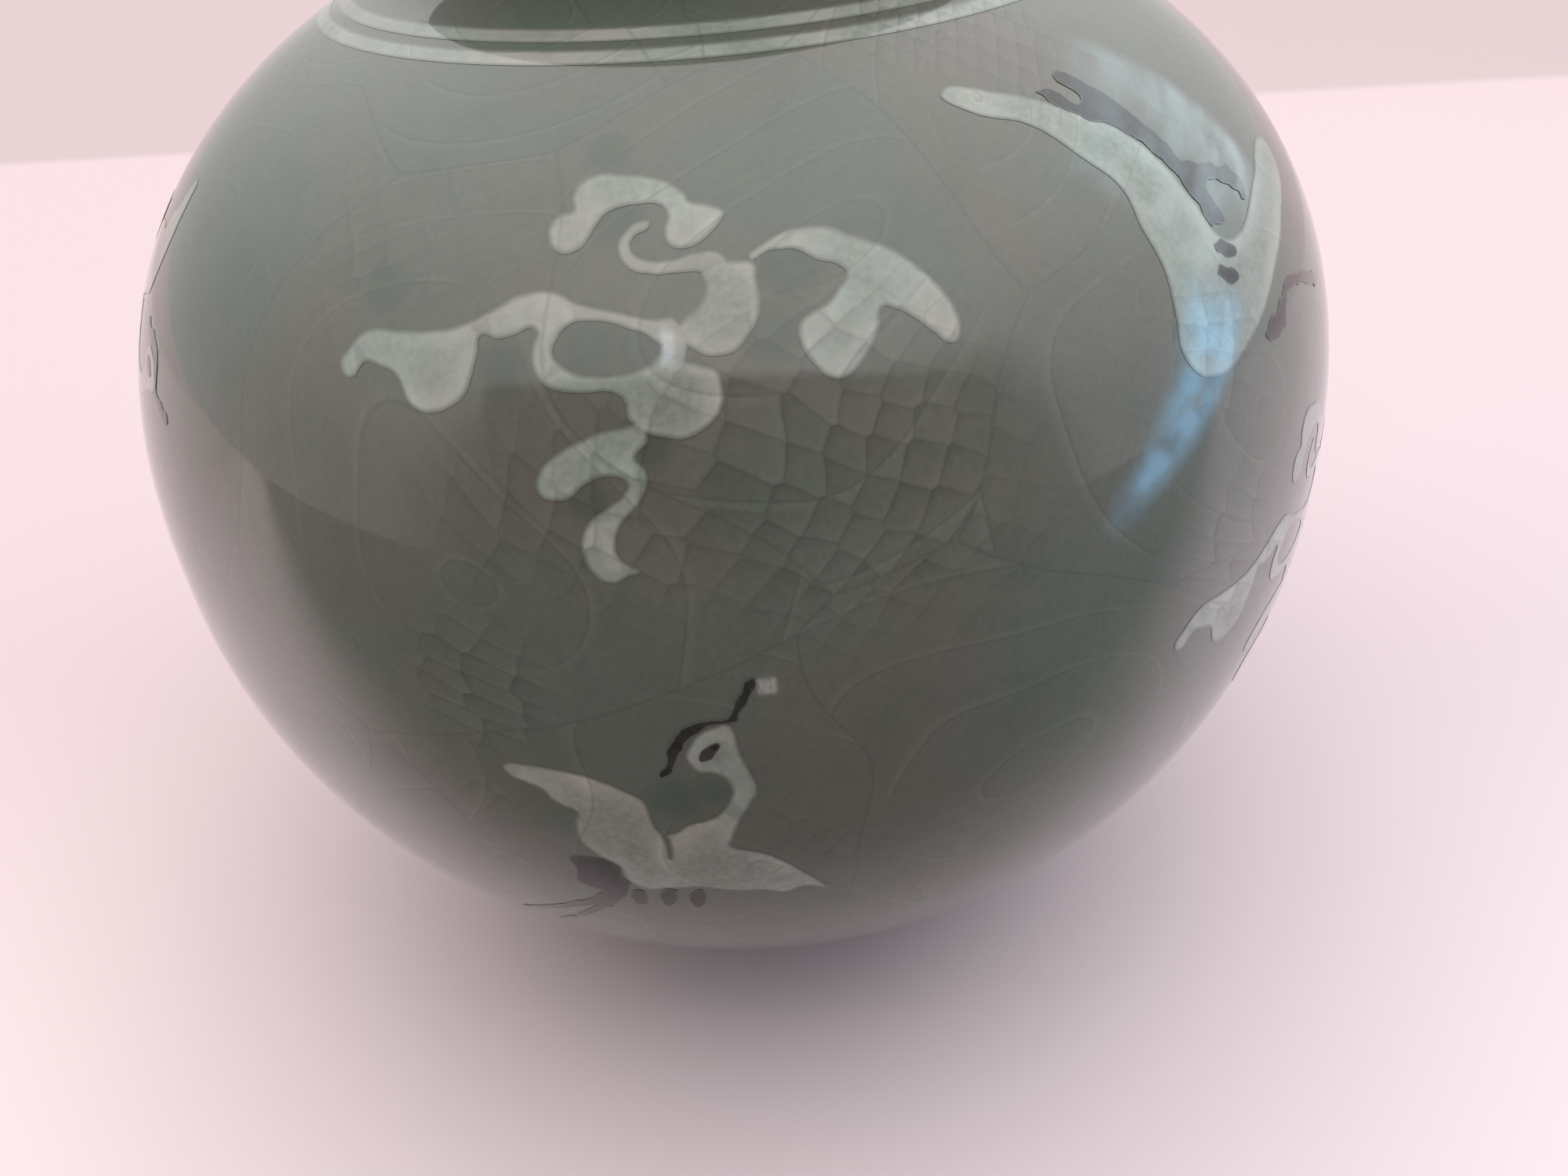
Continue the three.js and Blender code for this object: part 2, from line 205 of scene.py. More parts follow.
# %% Expressions on sockets
class Value:
    """A number that changes over the surface, made by a node."""

    def __init__(self, sheet, socket):
        self.sheet = sheet
        self.socket = socket

    def maths(self, operation, first, second=0.0):
        return self.sheet.add("ShaderNodeMath", {"operation": operation}, {0: first, 1: second})

    def alone(self, operation):
        """A function of this number only, such as its sine."""
        return self.maths(operation, self)

    def from_ends(self):
        """Distance from the nearer end, for a number that runs from 0 to 1."""
        return 0.5 - (self - 0.5).alone("ABSOLUTE")

    def output(self, index):
        """Another output of the same node."""
        return Value(self.sheet, self.socket.node.outputs[index])

    def __add__(self, other):
        return self.maths("ADD", self, other)

    def __sub__(self, other):
        return self.maths("SUBTRACT", self, other)

    def __rsub__(self, other):
        return self.maths("SUBTRACT", other, self)

    def __mul__(self, other):
        return self.maths("MULTIPLY", self, other)

    def __truediv__(self, other):
        return self.maths("DIVIDE", self, other)

    def __or__(self, other):
        """The larger of the two."""
        return self.maths("MAXIMUM", self, other)


print("a value has", [name for name in vars(Value) if not name.startswith("_")])


# %% A sheet of nodes
class Sheet:
    """A node tree and the ways to add to it."""

    def __init__(self, tree):
        self.tree = tree
        tree.nodes.clear()

    def plug(self, node, key, value):
        socket = node.inputs[key]
        if isinstance(value, Value):
            self.tree.links.new(value.socket, socket)
        else:
            socket.default_value = value

    def add(self, kind, settings=None, inputs=None, output=0):
        node = self.tree.nodes.new(kind)
        for name, setting in (settings or {}).items():
            setattr(node, name, setting)
        for key, value in (inputs or {}).items():
            self.plug(node, key, value)
        return Value(self, node.outputs[output])

    def mix(self, share, first, second, blend="MIX"):
        """A colour between two colours."""
        settings = {"data_type": "RGBA", "clamp_factor": True, "blend_type": blend}
        return self.add("ShaderNodeMix", settings, {0: share, 6: first, 7: second}, output=2)

    def step(self, value, low, high, start=0.0, end=1.0):
        """A soft step: start below low, end above high."""
        settings = {"interpolation_type": "SMOOTHSTEP", "clamp": True}
        return self.add("ShaderNodeMapRange", settings, {0: value, 1: low, 2: high, 3: start, 4: end})

    def vector(self, operation, first, second, output=0):
        return self.add("ShaderNodeVectorMath", {"operation": operation}, {0: first, 1: second}, output)

    def scaled(self, vector, share):
        return self.add("ShaderNodeVectorMath", {"operation": "SCALE"}, {0: vector, 3: share})

    def part(self, vector, index=0):
        return self.add("ShaderNodeSeparateXYZ", None, {0: vector}, index)

    def red(self, colour):
        """The red in a colour. A cell's colour is drawn at random, so this is the cell's own number."""
        return self.add("ShaderNodeSeparateColor", None, {0: colour})

    def in_mm(self):
        """The place on the surface, in millimetres."""
        return self.scaled(self.add("ShaderNodeTexCoord", output=3), 1 / MM)

    def carried(self, name):
        """A number that the piece carries at its corners."""
        return self.add("ShaderNodeAttribute", {"attribute_name": name}, output=2)

    def noise(self, vector, size, detail=2.0, roughness=0.5, output=0):
        """A smooth random field that changes over a size in millimetres."""
        inputs = {"Vector": vector, "Scale": 1 / size, "Detail": detail, "Roughness": roughness}
        return self.add("ShaderNodeTexNoise", None, inputs, output)

    def cells(self, vector, size, loose, output=0, **settings):
        """Cells of a size in millimetres, round the points of a loose grid."""
        inputs = {"Vector": vector, "Scale": 1 / size, "Randomness": loose}
        return self.add("ShaderNodeTexVoronoi", settings, inputs, output)


print("a sheet has", [name for name in vars(Sheet) if not name.startswith("_")])


# %% A finish, and colours as they look on a screen
class Finish(Sheet):
    """One material with a single shader, and the nodes that feed it."""

    def __init__(self, name):
        self.material = bpy.data.materials.new(name)
        self.material.use_nodes = True
        super().__init__(self.material.node_tree)
        self.shader = self.tree.nodes.new("ShaderNodeBsdfPrincipled")
        output = self.tree.nodes.new("ShaderNodeOutputMaterial")
        self.tree.links.new(self.shader.outputs[0], output.inputs[0])

    def feed(self, values):
        for key, value in values.items():
            self.plug(self.shader, key, value)


def tone(red, green, blue):
    """A colour written as it looks on a screen, from 0 to 255, as the linear light a shader wants."""
    def linear(level):
        share = level / 255
        return share / 12.92 if share <= 0.04045 else ((share + 0.055) / 1.055) ** 2.4
    return linear(red), linear(green), linear(blue), 1.0


print("mid grey as light:", [round(v, 3) for v in tone(128, 128, 128)])

# %% [markdown]
# Every clay and slip on the vase is seen through the same coat of glass, so its crackle has to run on
# over the inlays without a break. All finishes therefore share one function. It finds the bearing
# round the vase from the Object coordinates, and reads the evened length up the wall from the "up"
# value that every piece carries. A slow drift bends the pattern. Long cracks part the glass into
# fields about 26 mm wide, and run in arcs inside each field, one about every 5 mm. In some places a
# net of short cracks fills the field. The net starts afresh in each field, so short cracks stop where
# they meet a long one, as real crackle does. Cracks go down through the glass at a slant and catch
# the light, and that is painted into the colour: beside a crack the colour is a painted highlight on
# one side and painted shade on the other. The bearing has to start somewhere at the back, and a long
# winding crack stands there.

# %% Places on the vase
# Each is given as bearing, rise, then across, up and radius on the flat drawing. Nets hold short
# cracks and calm places hold none, pools hold thick glaze, and the slip is worn thin in the thins.
NETS = ((-4, 22.5, 8.0, -4.5, 12.5), (-8, -2.25, -8.5, 9.4, 6.0), (40, 6.0, 0.0, 0.0, 7.0))
CALM = ((-8, -2.25, 14.0, 4.5, 12.0),)
POOLS = (
    (-4, 22.5, -2.2, 8.0, 2.0), (-4, 22.5, -3.6, 1.5, 2.4), (-4, 22.5, -1.4, 1.5, 1.8),
    (-4, 22.5, 6.1, 4.9, 2.4), (-4, 22.5, 5.2, 1.7, 2.2), (-4, 22.5, -8.2, 0.6, 1.8),
    (-4, 22.5, -14.8, 4.1, 1.9), (-4, 22.5, -1.1, -3.2, 1.6), (-4, 22.5, -4.2, -5.9, 1.5),
    (-4, 22.5, -2.6, 11.9, 1.6), (-8, -2.25, 1.4, 2.1, 2.3), (-8, -2.25, 3.4, 2.6, 1.6),
    (56, -0.5, -7.0, 3.5, 2.4),
)
THINS = (
    (-4, 22.5, 2.6, 3.4, 3.2), (-4, 22.5, 0.0, -0.8, 3.0), (-8, -2.25, -2.8, -0.5, 4.5),
    (-8, -2.25, 3.0, -5.0, 5.0),
)


def places_share(sheet, mm, places):
    """How far a point lies inside the nearest of some round places, between 0 and 1."""
    deepest = None
    for bearing, rise, across, up, radius in places:
        middle = on_belly(math.radians(bearing), rise * MM, across * MM, up * MM) / MM
        away = sheet.vector("DISTANCE", mm, tuple(middle), output=1)
        share = sheet.step(away, radius * 0.35, radius, 1.0, 0.0)
        deepest = share if deepest is None else deepest | share
    return deepest


print("places:", len(NETS), "nets,", len(CALM), "calm,", len(POOLS), "pools,", len(THINS), "thins")

# %% The crackle
LONG_CELL = 26.0
SHORT_CELL = 2.2
RIPPLE = 5.2
CRACK_WIDTH = 0.17
RIM_WIDTH = 0.75
CRACK_DEPTH = 0.006 * MM
DRIFT = 18.0
FIELD_SHIFT = 70.0
NET_TURN = math.radians(41)
# Painted highlight and shade beside the cracks: the direction and share by which a cell's colour is made
# paler on one side and darker on the other.
SHORT_SHADE_SLANT = (0.50, -0.42, 0)
PAINTED_SHADE_SHARE = 0.26


def glaze_nodes(sheet):
    """The parts of the glaze that every finish shares, as values over the surface."""
    mm = sheet.in_mm()
    x = sheet.part(mm)
    y, z = x.output(1), x.output(2)
    girth = sheet.vector("LENGTH", sheet.vector("MULTIPLY", mm, (1, 1, 0)), (0, 0, 0), output=1)
    narrowing = girth / (belly_radius / MM)
    winding = (z * 0.13).alone("SINE") * 0.10 + (z * 0.41).alone("SINE") * 0.03
    bearing = x.maths("ARCTAN2", x, 0.0 - y) + winding
    wrapped = sheet.add("ShaderNodeMath", {"operation": "WRAP"}, {0: bearing, 1: math.pi, 2: -math.pi})
    seam_edge = (math.pi - wrapped.alone("ABSOLUTE")) * girth
    across = wrapped * (belly_radius / MM)
    flat = sheet.add("ShaderNodeCombineXYZ", None, {0: across, 1: sheet.carried("up")})
    slow = sheet.noise(mm, 30, 1.5, output=1)
    drift = sheet.scaled(sheet.vector("SUBTRACT", slow, (0.5, 0.5, 0.5)), DRIFT)
    drifted = sheet.vector("ADD", flat, drift)
    near = {"voronoi_dimensions": "2D"}
    edge = {"voronoi_dimensions": "2D", "feature": "DISTANCE_TO_EDGE"}

    fields = (drifted, LONG_CELL, 0.9)
    long_edge = sheet.cells(*fields, **edge) * LONG_CELL * narrowing
    long_tint = sheet.cells(*fields, 1, **near)
    field = sheet.red(long_tint)
    reach = sheet.cells(*fields, **near) * LONG_CELL + field * RIPPLE
    off_arc = reach.maths("PINGPONG", reach, RIPPLE / 2) * narrowing
    beyond_arc = (reach / RIPPLE).alone("FRACT")
    elsewhere = sheet.vector("ADD", mm, (17, 5, 9))
    arc_share = sheet.step(sheet.noise(elsewhere, 16), 0.40, 0.52)

    shifted = sheet.vector("ADD", drifted, sheet.scaled(long_tint, FIELD_SHIFT))
    net = sheet.add("ShaderNodeVectorRotate", {"rotation_type": "Z_AXIS"},
                    {"Vector": shifted, "Angle": NET_TURN})
    meshes = (net, SHORT_CELL, 0.30)
    short_edge = sheet.cells(*meshes, **edge) * SHORT_CELL * narrowing
    from_middle = sheet.vector("SUBTRACT", net, sheet.cells(*meshes, 2, **near))
    patch_share = sheet.step(sheet.noise(mm, 14), 0.52, 0.66, 0.08, 0.85)
    patch_share *= 1 - places_share(sheet, mm, CALM)
    net_share = patch_share | places_share(sheet, mm, NETS)
    # Painted highlight and shade: each cell of the net and each arc is coloured paler on one side of a crack
    # and darker on the other.
    short_rim = sheet.step(short_edge, 0.0, RIM_WIDTH, 1.0, 0.25)
    short_painted_shade = sheet.vector("DOT_PRODUCT", from_middle, SHORT_SHADE_SLANT, output=1) * short_rim * net_share
    arc_painted_shade = sheet.step(beyond_arc * RIPPLE, 0.0, RIM_WIDTH, 0.6, 0.0) * arc_share

    long_crack = sheet.step(long_edge, 0.0, CRACK_WIDTH, 1.0, 0.0)
    arc_crack = sheet.step(off_arc, 0.0, CRACK_WIDTH, 1.0, 0.0) * arc_share
    short_crack = sheet.step(short_edge, 0.0, CRACK_WIDTH, 1.0, 0.0) * net_share
    seam_crack = sheet.step(seam_edge, 0.0, CRACK_WIDTH, 1.0, 0.0)
    # The "lean" value is the painted highlight and shade beside the cracks.
    return {"mm": mm, "height": z, "crack": long_crack | arc_crack | short_crack | seam_crack,
            "lean": short_painted_shade + arc_painted_shade, "field": field,
            "cell": (sheet.red(sheet.cells(*meshes, 1, **near)) - 0.5) * net_share}


print("crackle: fields of", LONG_CELL, "mm, arcs every", RIPPLE, "mm, nets of", SHORT_CELL, "mm")

# %% Glass over a colour
# Darker and greener towards the foot: partly thicker glaze that ran down, partly painted shade of the lower
# belly.
RUN_AND_SHADE_TINT = (0.72, 0.82, 0.74, 1.0)
RUN_AND_SHADE_LOW, RUN_AND_SHADE_HIGH = 6.0, 38.0


def specks(sheet, mm, spacing, size, rarity, seed):
    """Small round spots, one in some of the cells of a loose grid."""
    grid = (sheet.vector("ADD", mm, (seed, seed, seed)), spacing, 1.0)
    chosen = sheet.step(sheet.red(sheet.cells(*grid, 1)), rarity, rarity + 0.02)
    return sheet.step(sheet.cells(*grid) * spacing, size * 0.5, size, 1.0, 0.0) * chosen


def mottle(sheet, mm, size, low, high, detail=3.0):
    """A slow change over the surface, between 0 and 1, with patches of a size in millimetres."""
    return sheet.step(sheet.noise(mm, size, detail, 0.55), low, high)


def coated(finish, weight):
    """The smooth layer of glass that gives the gloss."""
    finish.feed({"Coat Weight": weight, "Coat Roughness": 0.05, "Coat IOR": 1.5})


def glazed(finish, shared, under, crack_tone, crack_share, cell_share):
    """Puts the crackled glass over a colour: cracks, uneven cells with painted highlight and shade beside
    the cracks, a deeper tone towards the foot that is partly thicker glaze and partly painted shade,
    pinholes, specks and gloss.
    """
    # The cells vary at random; the lean adds painted highlight and shade beside the cracks.
    uneven = shared["cell"] * cell_share + shared["lean"] * PAINTED_SHADE_SHARE + 1.0
    lit = finish.scaled(under, uneven)
    # Thicker glaze and painted shade towards the foot.
    run = finish.step(shared["height"], RUN_AND_SHADE_LOW, RUN_AND_SHADE_HIGH, 1.0, 0.0)
    thick_and_shaded = finish.mix(run, lit, RUN_AND_SHADE_TINT, "MULTIPLY")
    cracked = finish.mix(shared["crack"] * crack_share, thick_and_shaded, crack_tone)
    holes = specks(finish, shared["mm"], 2.6, 0.10, 0.80, 3.0)
    pitted = finish.mix(holes * 0.5, cracked, tone(52, 56, 50))
    dust = specks(finish, shared["mm"], 7.5, 0.15, 0.82, 31.0)
    relief = finish.add("ShaderNodeBump", {"invert": True}, {"Strength": 1.0, "Distance": CRACK_DEPTH,
                                                             "Height": shared["crack"]})
    finish.feed({"Base Color": finish.mix(dust * 0.8, pitted, tone(206, 204, 190)), "Normal": relief,
                 "Roughness": 0.45, "Specular IOR Level": 0.2})
    coated(finish, 1.0)


print("the glaze deepens from", RUN_AND_SHADE_HIGH, "mm down to", RUN_AND_SHADE_LOW, "mm above the table")

# %% [markdown]
# The melted glaze runs down a little, so towards the foot it is thicker, deeper and greener. That
# darkening is also painted shade, for the lower belly, which faces down and away from the light. The
# glaze also lies thicker in the hollows beside the carving, in soft round pools.

# %% Celadon over the grey body
def celadon_finish():
    finish = Finish("celadon_glaze")
    shared = glaze_nodes(finish)
    mm = shared["mm"]
    drift = mottle(finish, mm, 15, 0.30, 0.70) + (shared["field"] - 0.5) * 0.5
    body = finish.mix(drift, tone(84, 96, 86), tone(93, 92, 84))
    deep = finish.mix(mottle(finish, mm, 5, 0.45, 0.75) * 0.4, body, tone(74, 84, 74))
    grain = finish.mix(mottle(finish, mm, 0.35, 0.3, 0.7, 1.0) * 0.16, deep, tone(114, 112, 104))
    pooled = finish.mix(places_share(finish, mm, POOLS) * 0.55, grain, tone(66, 82, 70))
    glazed(finish, shared, pooled, tone(46, 50, 44), 0.20, 0.12)
    return finish.material


celadon = celadon_finish()
print("celadon glaze has", len(celadon.node_tree.nodes), "nodes")

# %% [markdown]
# Slip bleeds a little into the glaze, so the edge of an inlay is soft. It also dries thinner in the
# middle of a wide bed than along its rim, and there the grey clay shows through. Each inlay carries
# an "inward" value, its distance from the outline in millimetres, and the colour follows it.

# %% White slip under the glaze
CLAY_TONE = tone(94, 98, 89)


def slip_finish(name):
    """A finish for slip, the glaze's shared values, the place on it and the way in from its edge."""
    finish = Finish(name)
    shared = glaze_nodes(finish)
    return finish, shared, shared["mm"], finish.carried("inward")


def soft_rim(finish, inward, width, slip):
    """The slip's colour, giving way to the clay's at the outline."""
    return finish.mix(finish.step(inward, 0.0, width, 0.1, 1.0), CLAY_TONE, slip)


def white_slip_finish():
    finish, shared, mm, inward = slip_finish("white_slip")
    slip = finish.mix(mottle(finish, mm, 9, 0.36, 0.62), tone(156, 155, 148), tone(138, 150, 141))
    thin_share = finish.step(inward, 0.3, 1.6, 0.0, 0.50) + mottle(finish, mm, 5, 0.42, 0.66) * 0.50
    thin = finish.mix(thin_share | places_share(finish, mm, THINS) * 0.75, slip, tone(108, 118, 107))
    grain = finish.mix(mottle(finish, mm, 0.4, 0.3, 0.7, 1.0) * 0.18, thin, tone(176, 173, 165))
    glazed(finish, shared, soft_rim(finish, inward, 0.32, grain), tone(92, 98, 90), 0.3, 0.16)
    return finish.material


white_slip = white_slip_finish()
print("white slip has", len(white_slip.node_tree.nodes), "nodes")


# %% Black slip under the glaze
def black_slip_finish():
    finish, shared, mm, inward = slip_finish("black_slip")
    slip = finish.mix(mottle(finish, mm, 4, 0.35, 0.65), tone(26, 22, 26), tone(42, 36, 40))
    grain = finish.mix(mottle(finish, mm, 0.45, 0.45, 0.75, 1.0) * 0.2, slip, tone(80, 78, 74))
    glazed(finish, shared, soft_rim(finish, inward, 0.12, grain), tone(30, 28, 28), 0.3, 0.15)
    return finish.material


black_slip = black_slip_finish()
print("black slip has", len(black_slip.node_tree.nodes), "nodes")

# %% Glaze that stops short of the bare standing rim
GLAZE_STOPS, GLAZE_FULL = 1.15, 1.4


def foot_finish():
    finish = Finish("bare_foot_clay")
    mm = finish.in_mm()
    line = finish.part(mm, 2) + mottle(finish, mm, 3, 0.2, 0.8) * 0.5
    glaze_share = finish.step(line, GLAZE_STOPS, GLAZE_FULL)
    clay = finish.mix(mottle(finish, mm, 4, 0.35, 0.7), tone(150, 122, 98), tone(126, 98, 78))
    sand = finish.mix(mottle(finish, mm, 0.5, 0.55, 0.75, 1.0) * 0.5, clay, tone(178, 156, 132))
    glaze = finish.mix(mottle(finish, mm, 15, 0.30, 0.70), tone(82, 92, 82), tone(93, 89, 82))
    grit = finish.noise(mm, 0.625, 3.0) * (1 - glaze_share)
    relief = finish.add("ShaderNodeBump", None, {"Strength": 0.6, "Distance": 0.05 * MM, "Height": grit})
    finish.feed({"Base Color": finish.mix(glaze_share, sand, glaze), "Normal": relief,
                 "Roughness": finish.step(line, GLAZE_STOPS, GLAZE_FULL, 0.85, 0.45)})
    coated(finish, glaze_share)
    return finish.material


foot_clay = foot_finish()
print("foot clay has", len(foot_clay.node_tree.nodes), "nodes")

# %% [markdown]
# Thrown pieces are made as on the wheel. One vertex is extruded point by point along the section of
# the wall, and the section is spun once about the axis. The doubles where the spin closes are merged
# and the normals recalculated. Many fine turns are used, because a glossy surface shows every facet.


# %% Turning a section into a thrown piece
TURNS = 288
WELD = 0.4e-6
PERCH = 1 * MM


def clear_selection():
    bpy.ops.object.select_all(action="DESELECT")


def edit_all():
    """Opens the active mesh with all of it selected."""
    bpy.ops.object.mode_set(mode="EDIT")
    bpy.ops.mesh.select_all(action="SELECT")


def thrown(name, section):
    """A closed thrown wall from its section, a list of (radius, height)."""
    clear_selection()
    start = section[0]
    bpy.ops.mesh.primitive_plane_add(size=PERCH, location=(start[0], 0, start[1]))
    piece = bpy.context.object
    piece.name = name
    bpy.ops.object.transform_apply(location=True, rotation=True, scale=True)
    edit_all()
    bpy.ops.mesh.merge(type="CENTER")
    for (r0, h0), (r1, h1) in zip(section, section[1:]):
        bpy.ops.mesh.extrude_region_move(TRANSFORM_OT_translate={"value": (r1 - r0, 0, h1 - h0)})
    bpy.ops.mesh.select_all(action="SELECT")
    bpy.ops.mesh.spin(steps=TURNS, angle=2 * math.pi, center=(0, 0, 0), axis=(0, 0, 1))
    bpy.ops.mesh.select_all(action="SELECT")
    bpy.ops.mesh.remove_doubles(threshold=WELD)
    bpy.ops.mesh.normals_make_consistent(inside=False)
    bpy.ops.object.mode_set(mode="OBJECT")
    bpy.ops.object.shade_smooth_by_angle(angle=math.radians(35))
    print(name, "has", len(piece.data.polygons), "faces")
    return piece


print("a thrown piece turns in", TURNS, "steps")


# %% Giving a piece its finish and its place
def finished(piece, finish, slot, *nodes):
    """Gives a piece its height values for the crackle, its material and its place in the model."""
    up = piece.data.attributes.new("up", "FLOAT", "POINT")
    for vertex, value in zip(piece.data.vertices, up.data):
        height = min(max(vertex.co.z, 0.0), lip_height)
        inwards = outside_radius(height) - math.hypot(vertex.co.x, vertex.co.y)
        value.value = (between(height, line_heights, line_evened) + inwards) / MM
    piece.data.materials.clear()
    piece.data.materials.append(finish)
    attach(piece, "root")
    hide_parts(*nodes)


print("the crackle's own length up to the lip:", round(line_evened[-1] / MM, 1), "mm")


# %% Curves of a section
def curve_points(first, pull_first, pull_last, last, count):
    """Points on a smooth curve between two ends, after the first end."""
    points = []
    for step in range(1, count + 1):
        t = step / count
        weights = ((1 - t) ** 3, 3 * t * (1 - t) ** 2, 3 * t * t * (1 - t), t ** 3)
        knots = (first, pull_first, pull_last, last)
        points.append(tuple(sum(w * knot[axis] for w, knot in zip(weights, knots)) for axis in (0, 1)))
    return points


def arc_points(centre, radius, start, end, count):
    """Points on a round stretch, with both ends, from angles in degrees."""
    angles = [math.radians(start + (end - start) * step / count) for step in range(count + 1)]
    return [(centre[0] + radius * math.cos(a), centre[1] + radius * math.sin(a)) for a in angles]


print("a half circle in two steps:", [(round(x), round(y)) for x, y in arc_points((0, 0), 1, 0, 180, 2)])

# %% [markdown]
# The body is one shell from the seat to the inner shoulder. Outside it follows the formula of the
# belly. Inside it is a smaller copy of the same curve, as thick as the wall, with a flat floor. It
# ends where the neck is luted on, in a level rim that the neck covers.

# %% Body
OUTER_ROWS, INNER_ROWS = 110, 40
joint_height = shoulder_height_at(joint_radius)
bore_radius = 19.2 * MM
seat_radius = 23.4 * MM
seat_edge = belly_height_at(seat_radius)


def eased(row, rows):
    """A share from 0 to 1 that starts and ends slowly, so rows crowd at both ends."""
    return (1 - math.cos(math.pi * row / rows)) / 2


outside = []
for row in range(OUTER_ROWS + 1):
    height = seat_edge + (joint_height - seat_edge) * eased(row, OUTER_ROWS)
    outside.append((belly_radius_at(height), height))
scale_in = 1 - body_wall / belly_radius
floor_height = seat_height + floor_thickness
inside = []
for row in range(1, INNER_ROWS + 1):
    height = joint_height + (floor_height - joint_height) * eased(row, INNER_ROWS)
    outer_height = min(belly_height + (height - belly_height) / scale_in, joint_height)
    inside.append((belly_radius_at(outer_height) * scale_in, height))
body_section = [(0, seat_height), (seat_radius - 1.2 * MM, seat_height)] + outside
body_section += [(bore_radius, joint_height)] + inside + [(0, floor_height)]
body = thrown("body", body_section)
finished(body, celadon, "celadon_glaze", "body_shell")

# %% [markdown]
# The neck rises from the shoulder in a small sweep, draws in to its waist and flares to a rounded
# lip. The photo cuts it off, but its dark reflection on the shoulder ends between the two lines, as
# only a short neck's does. Its outside starts exactly where the body's ends, so that the glaze runs
# over the joint as on the real pot.

# %% Neck
neck_wall, lip_wall = 3 * MM, 2.2 * MM
lip_round = lip_wall / 2
NECK_ROWS, LIP_ROWS = 22, 12

shoulder_out, shoulder_up = section_normal(joint_height)
neck_base = (joint_radius, joint_height)
sweep = (joint_radius - 1.7 * MM * shoulder_up, joint_height + 1.7 * MM * shoulder_out)
waist = (waist_radius, waist_height)
lip_edge = (lip_radius, lip_height - lip_round)
outer_neck = curve_points(neck_base, sweep, (waist_radius, waist_height - 2.4 * MM), waist, NECK_ROWS)
outer_neck += curve_points(waist, (waist_radius, waist_height + 1.2 * MM),
                           (lip_radius - 0.8 * MM, lip_height - 2.0 * MM), lip_edge, NECK_ROWS)
rounded_lip = arc_points((lip_radius - lip_round, lip_height - lip_round), lip_round, 0, 180, LIP_ROWS)
inner_neck = []
for row, (radius, height) in enumerate(outer_neck[:-1]):
    wall = neck_wall + (lip_wall - neck_wall) * row / len(outer_neck)
    inner_neck.append((radius - wall, height))
neck_section = [neck_base] + outer_neck + rounded_lip[1:] + inner_neck[::-1]
neck_section += [(bore_radius, joint_height), neck_base]
neck = thrown("neck", neck_section)
finished(neck, celadon, "celadon_glaze", "neck_collar")

# %% [markdown]
# The foot ring carries the pot. Its outer wall leaves the belly in a small hollow, and its standing
# rim is wiped free of glaze, so that it doesn't stick in the kiln. Bare, it shows the fired clay.

# %% Foot ring
foot_width, foot_round = 3.6 * MM, 0.6 * MM
foot_inner = foot_radius - foot_width
foot_top = seat_edge + 0.4 * MM
outer_foot = curve_points((seat_radius, seat_edge), (seat_radius - 0.9 * MM, seat_edge - 0.5 * MM),
                          (foot_radius + 0.15 * MM, 3.0 * MM), (foot_radius, 1.6 * MM), 10)
rim_out = arc_points((foot_radius - foot_round, foot_round), foot_round, 0, -90, 6)
rim_in = arc_points((foot_inner + foot_round, foot_round), foot_round, -90, -180, 6)
inner_foot = curve_points((foot_inner, foot_round), (foot_inner, 2.4 * MM),
                          (foot_inner - 0.2 * MM, seat_height),
                          (foot_inner - 1.3 * MM, seat_height + 0.1 * MM), 8)
foot_section = [(seat_radius, seat_edge)] + outer_foot + rim_out + rim_in + inner_foot
foot_section += [(foot_inner - 1.0 * MM, foot_top), (seat_radius - 1.5 * MM, foot_top)]
foot_section += [(seat_radius, seat_edge)]
foot = thrown("foot", foot_section)
finished(foot, foot_clay, "bare_foot_clay", "foot_ring")

# %% [markdown]
# Two lines run round the shoulder. Each was cut with a point while the pot turned, and filled with
# white slip. The cut is 0.8 mm wide, and the slip bleeds 0.2 mm into the glaze on each side, so the
# band here is as wide as both. It stands proud of the clay by less than a hair, so that it shows and
# the glaze still runs on.

# %% Shoulder lines
line_radii = (25.1 * MM, 23.5 * MM)
line_width = 1.2 * MM
slip_depth = 0.6 * MM
WHITE_LIFT, BLACK_LIFT = 0.02 * MM, 0.04 * MM


def line_inward(height, middle):
    """Distance from the edge of a line at a height, in millimetres."""
    return (line_width / 2 - abs(length_at(height) - middle)) / MM


for number, radius in enumerate(line_radii, start=1):
    middle = length_at(shoulder_height_at(radius))
    edges = [middle + line_width * (step / 8 - 0.5) for step in range(9)]
    band = [on_section(edge, WHITE_LIFT) for edge in edges]
    band += [on_section(edge, -slip_depth) for edge in reversed(edges)]
    ring = thrown(f"line_{number}", band + band[:1])
    inward = ring.data.attributes.new("inward", "FLOAT", "POINT")
    inward.data.foreach_set("value", [line_inward(vertex.co.z, middle) for vertex in ring.data.vertices])
    finished(ring, white_slip, "white_slip", f"shoulder_line_{number}")

# %% [markdown]
# An inlay starts as a drawing on the flat, in millimetres: across, then up. The carver cuts it out,
# so its outline is a smooth closed curve through a few points, given a depth and turned into a mesh.
# Thin marks are strokes, whose outline runs down one side of a middle line and back up the other.
# Outlines that touch are joined, and a hole is taken out, with Boolean modifiers.

# %% Drawing an inlay on the flat
FLAT_DEPTH = slip_depth / MM
CURVE_STEPS = 6
FLAT_WELD = 0.002
STRAIGHT = math.radians(0.5)


def stroke(*path):
    """The outline round a stroke, from (across, up, half width) along its middle."""
    left, right = [], []
    for index, (across, up, half) in enumerate(path):
        before = path[max(index - 1, 0)]
        after = path[min(index + 1, len(path) - 1)]
        run = Vector((after[0] - before[0], after[1] - before[1])).normalized()
        left.append((across - run.y * half, up + run.x * half))
        right.append((across + run.y * half, up - run.x * half))
        if index == 0:
            first_tip = (across - run.x * half, up - run.y * half)
        last_tip = (across + run.x * half, up + run.y * half)
    return [first_tip] + left + [last_tip] + right[::-1]


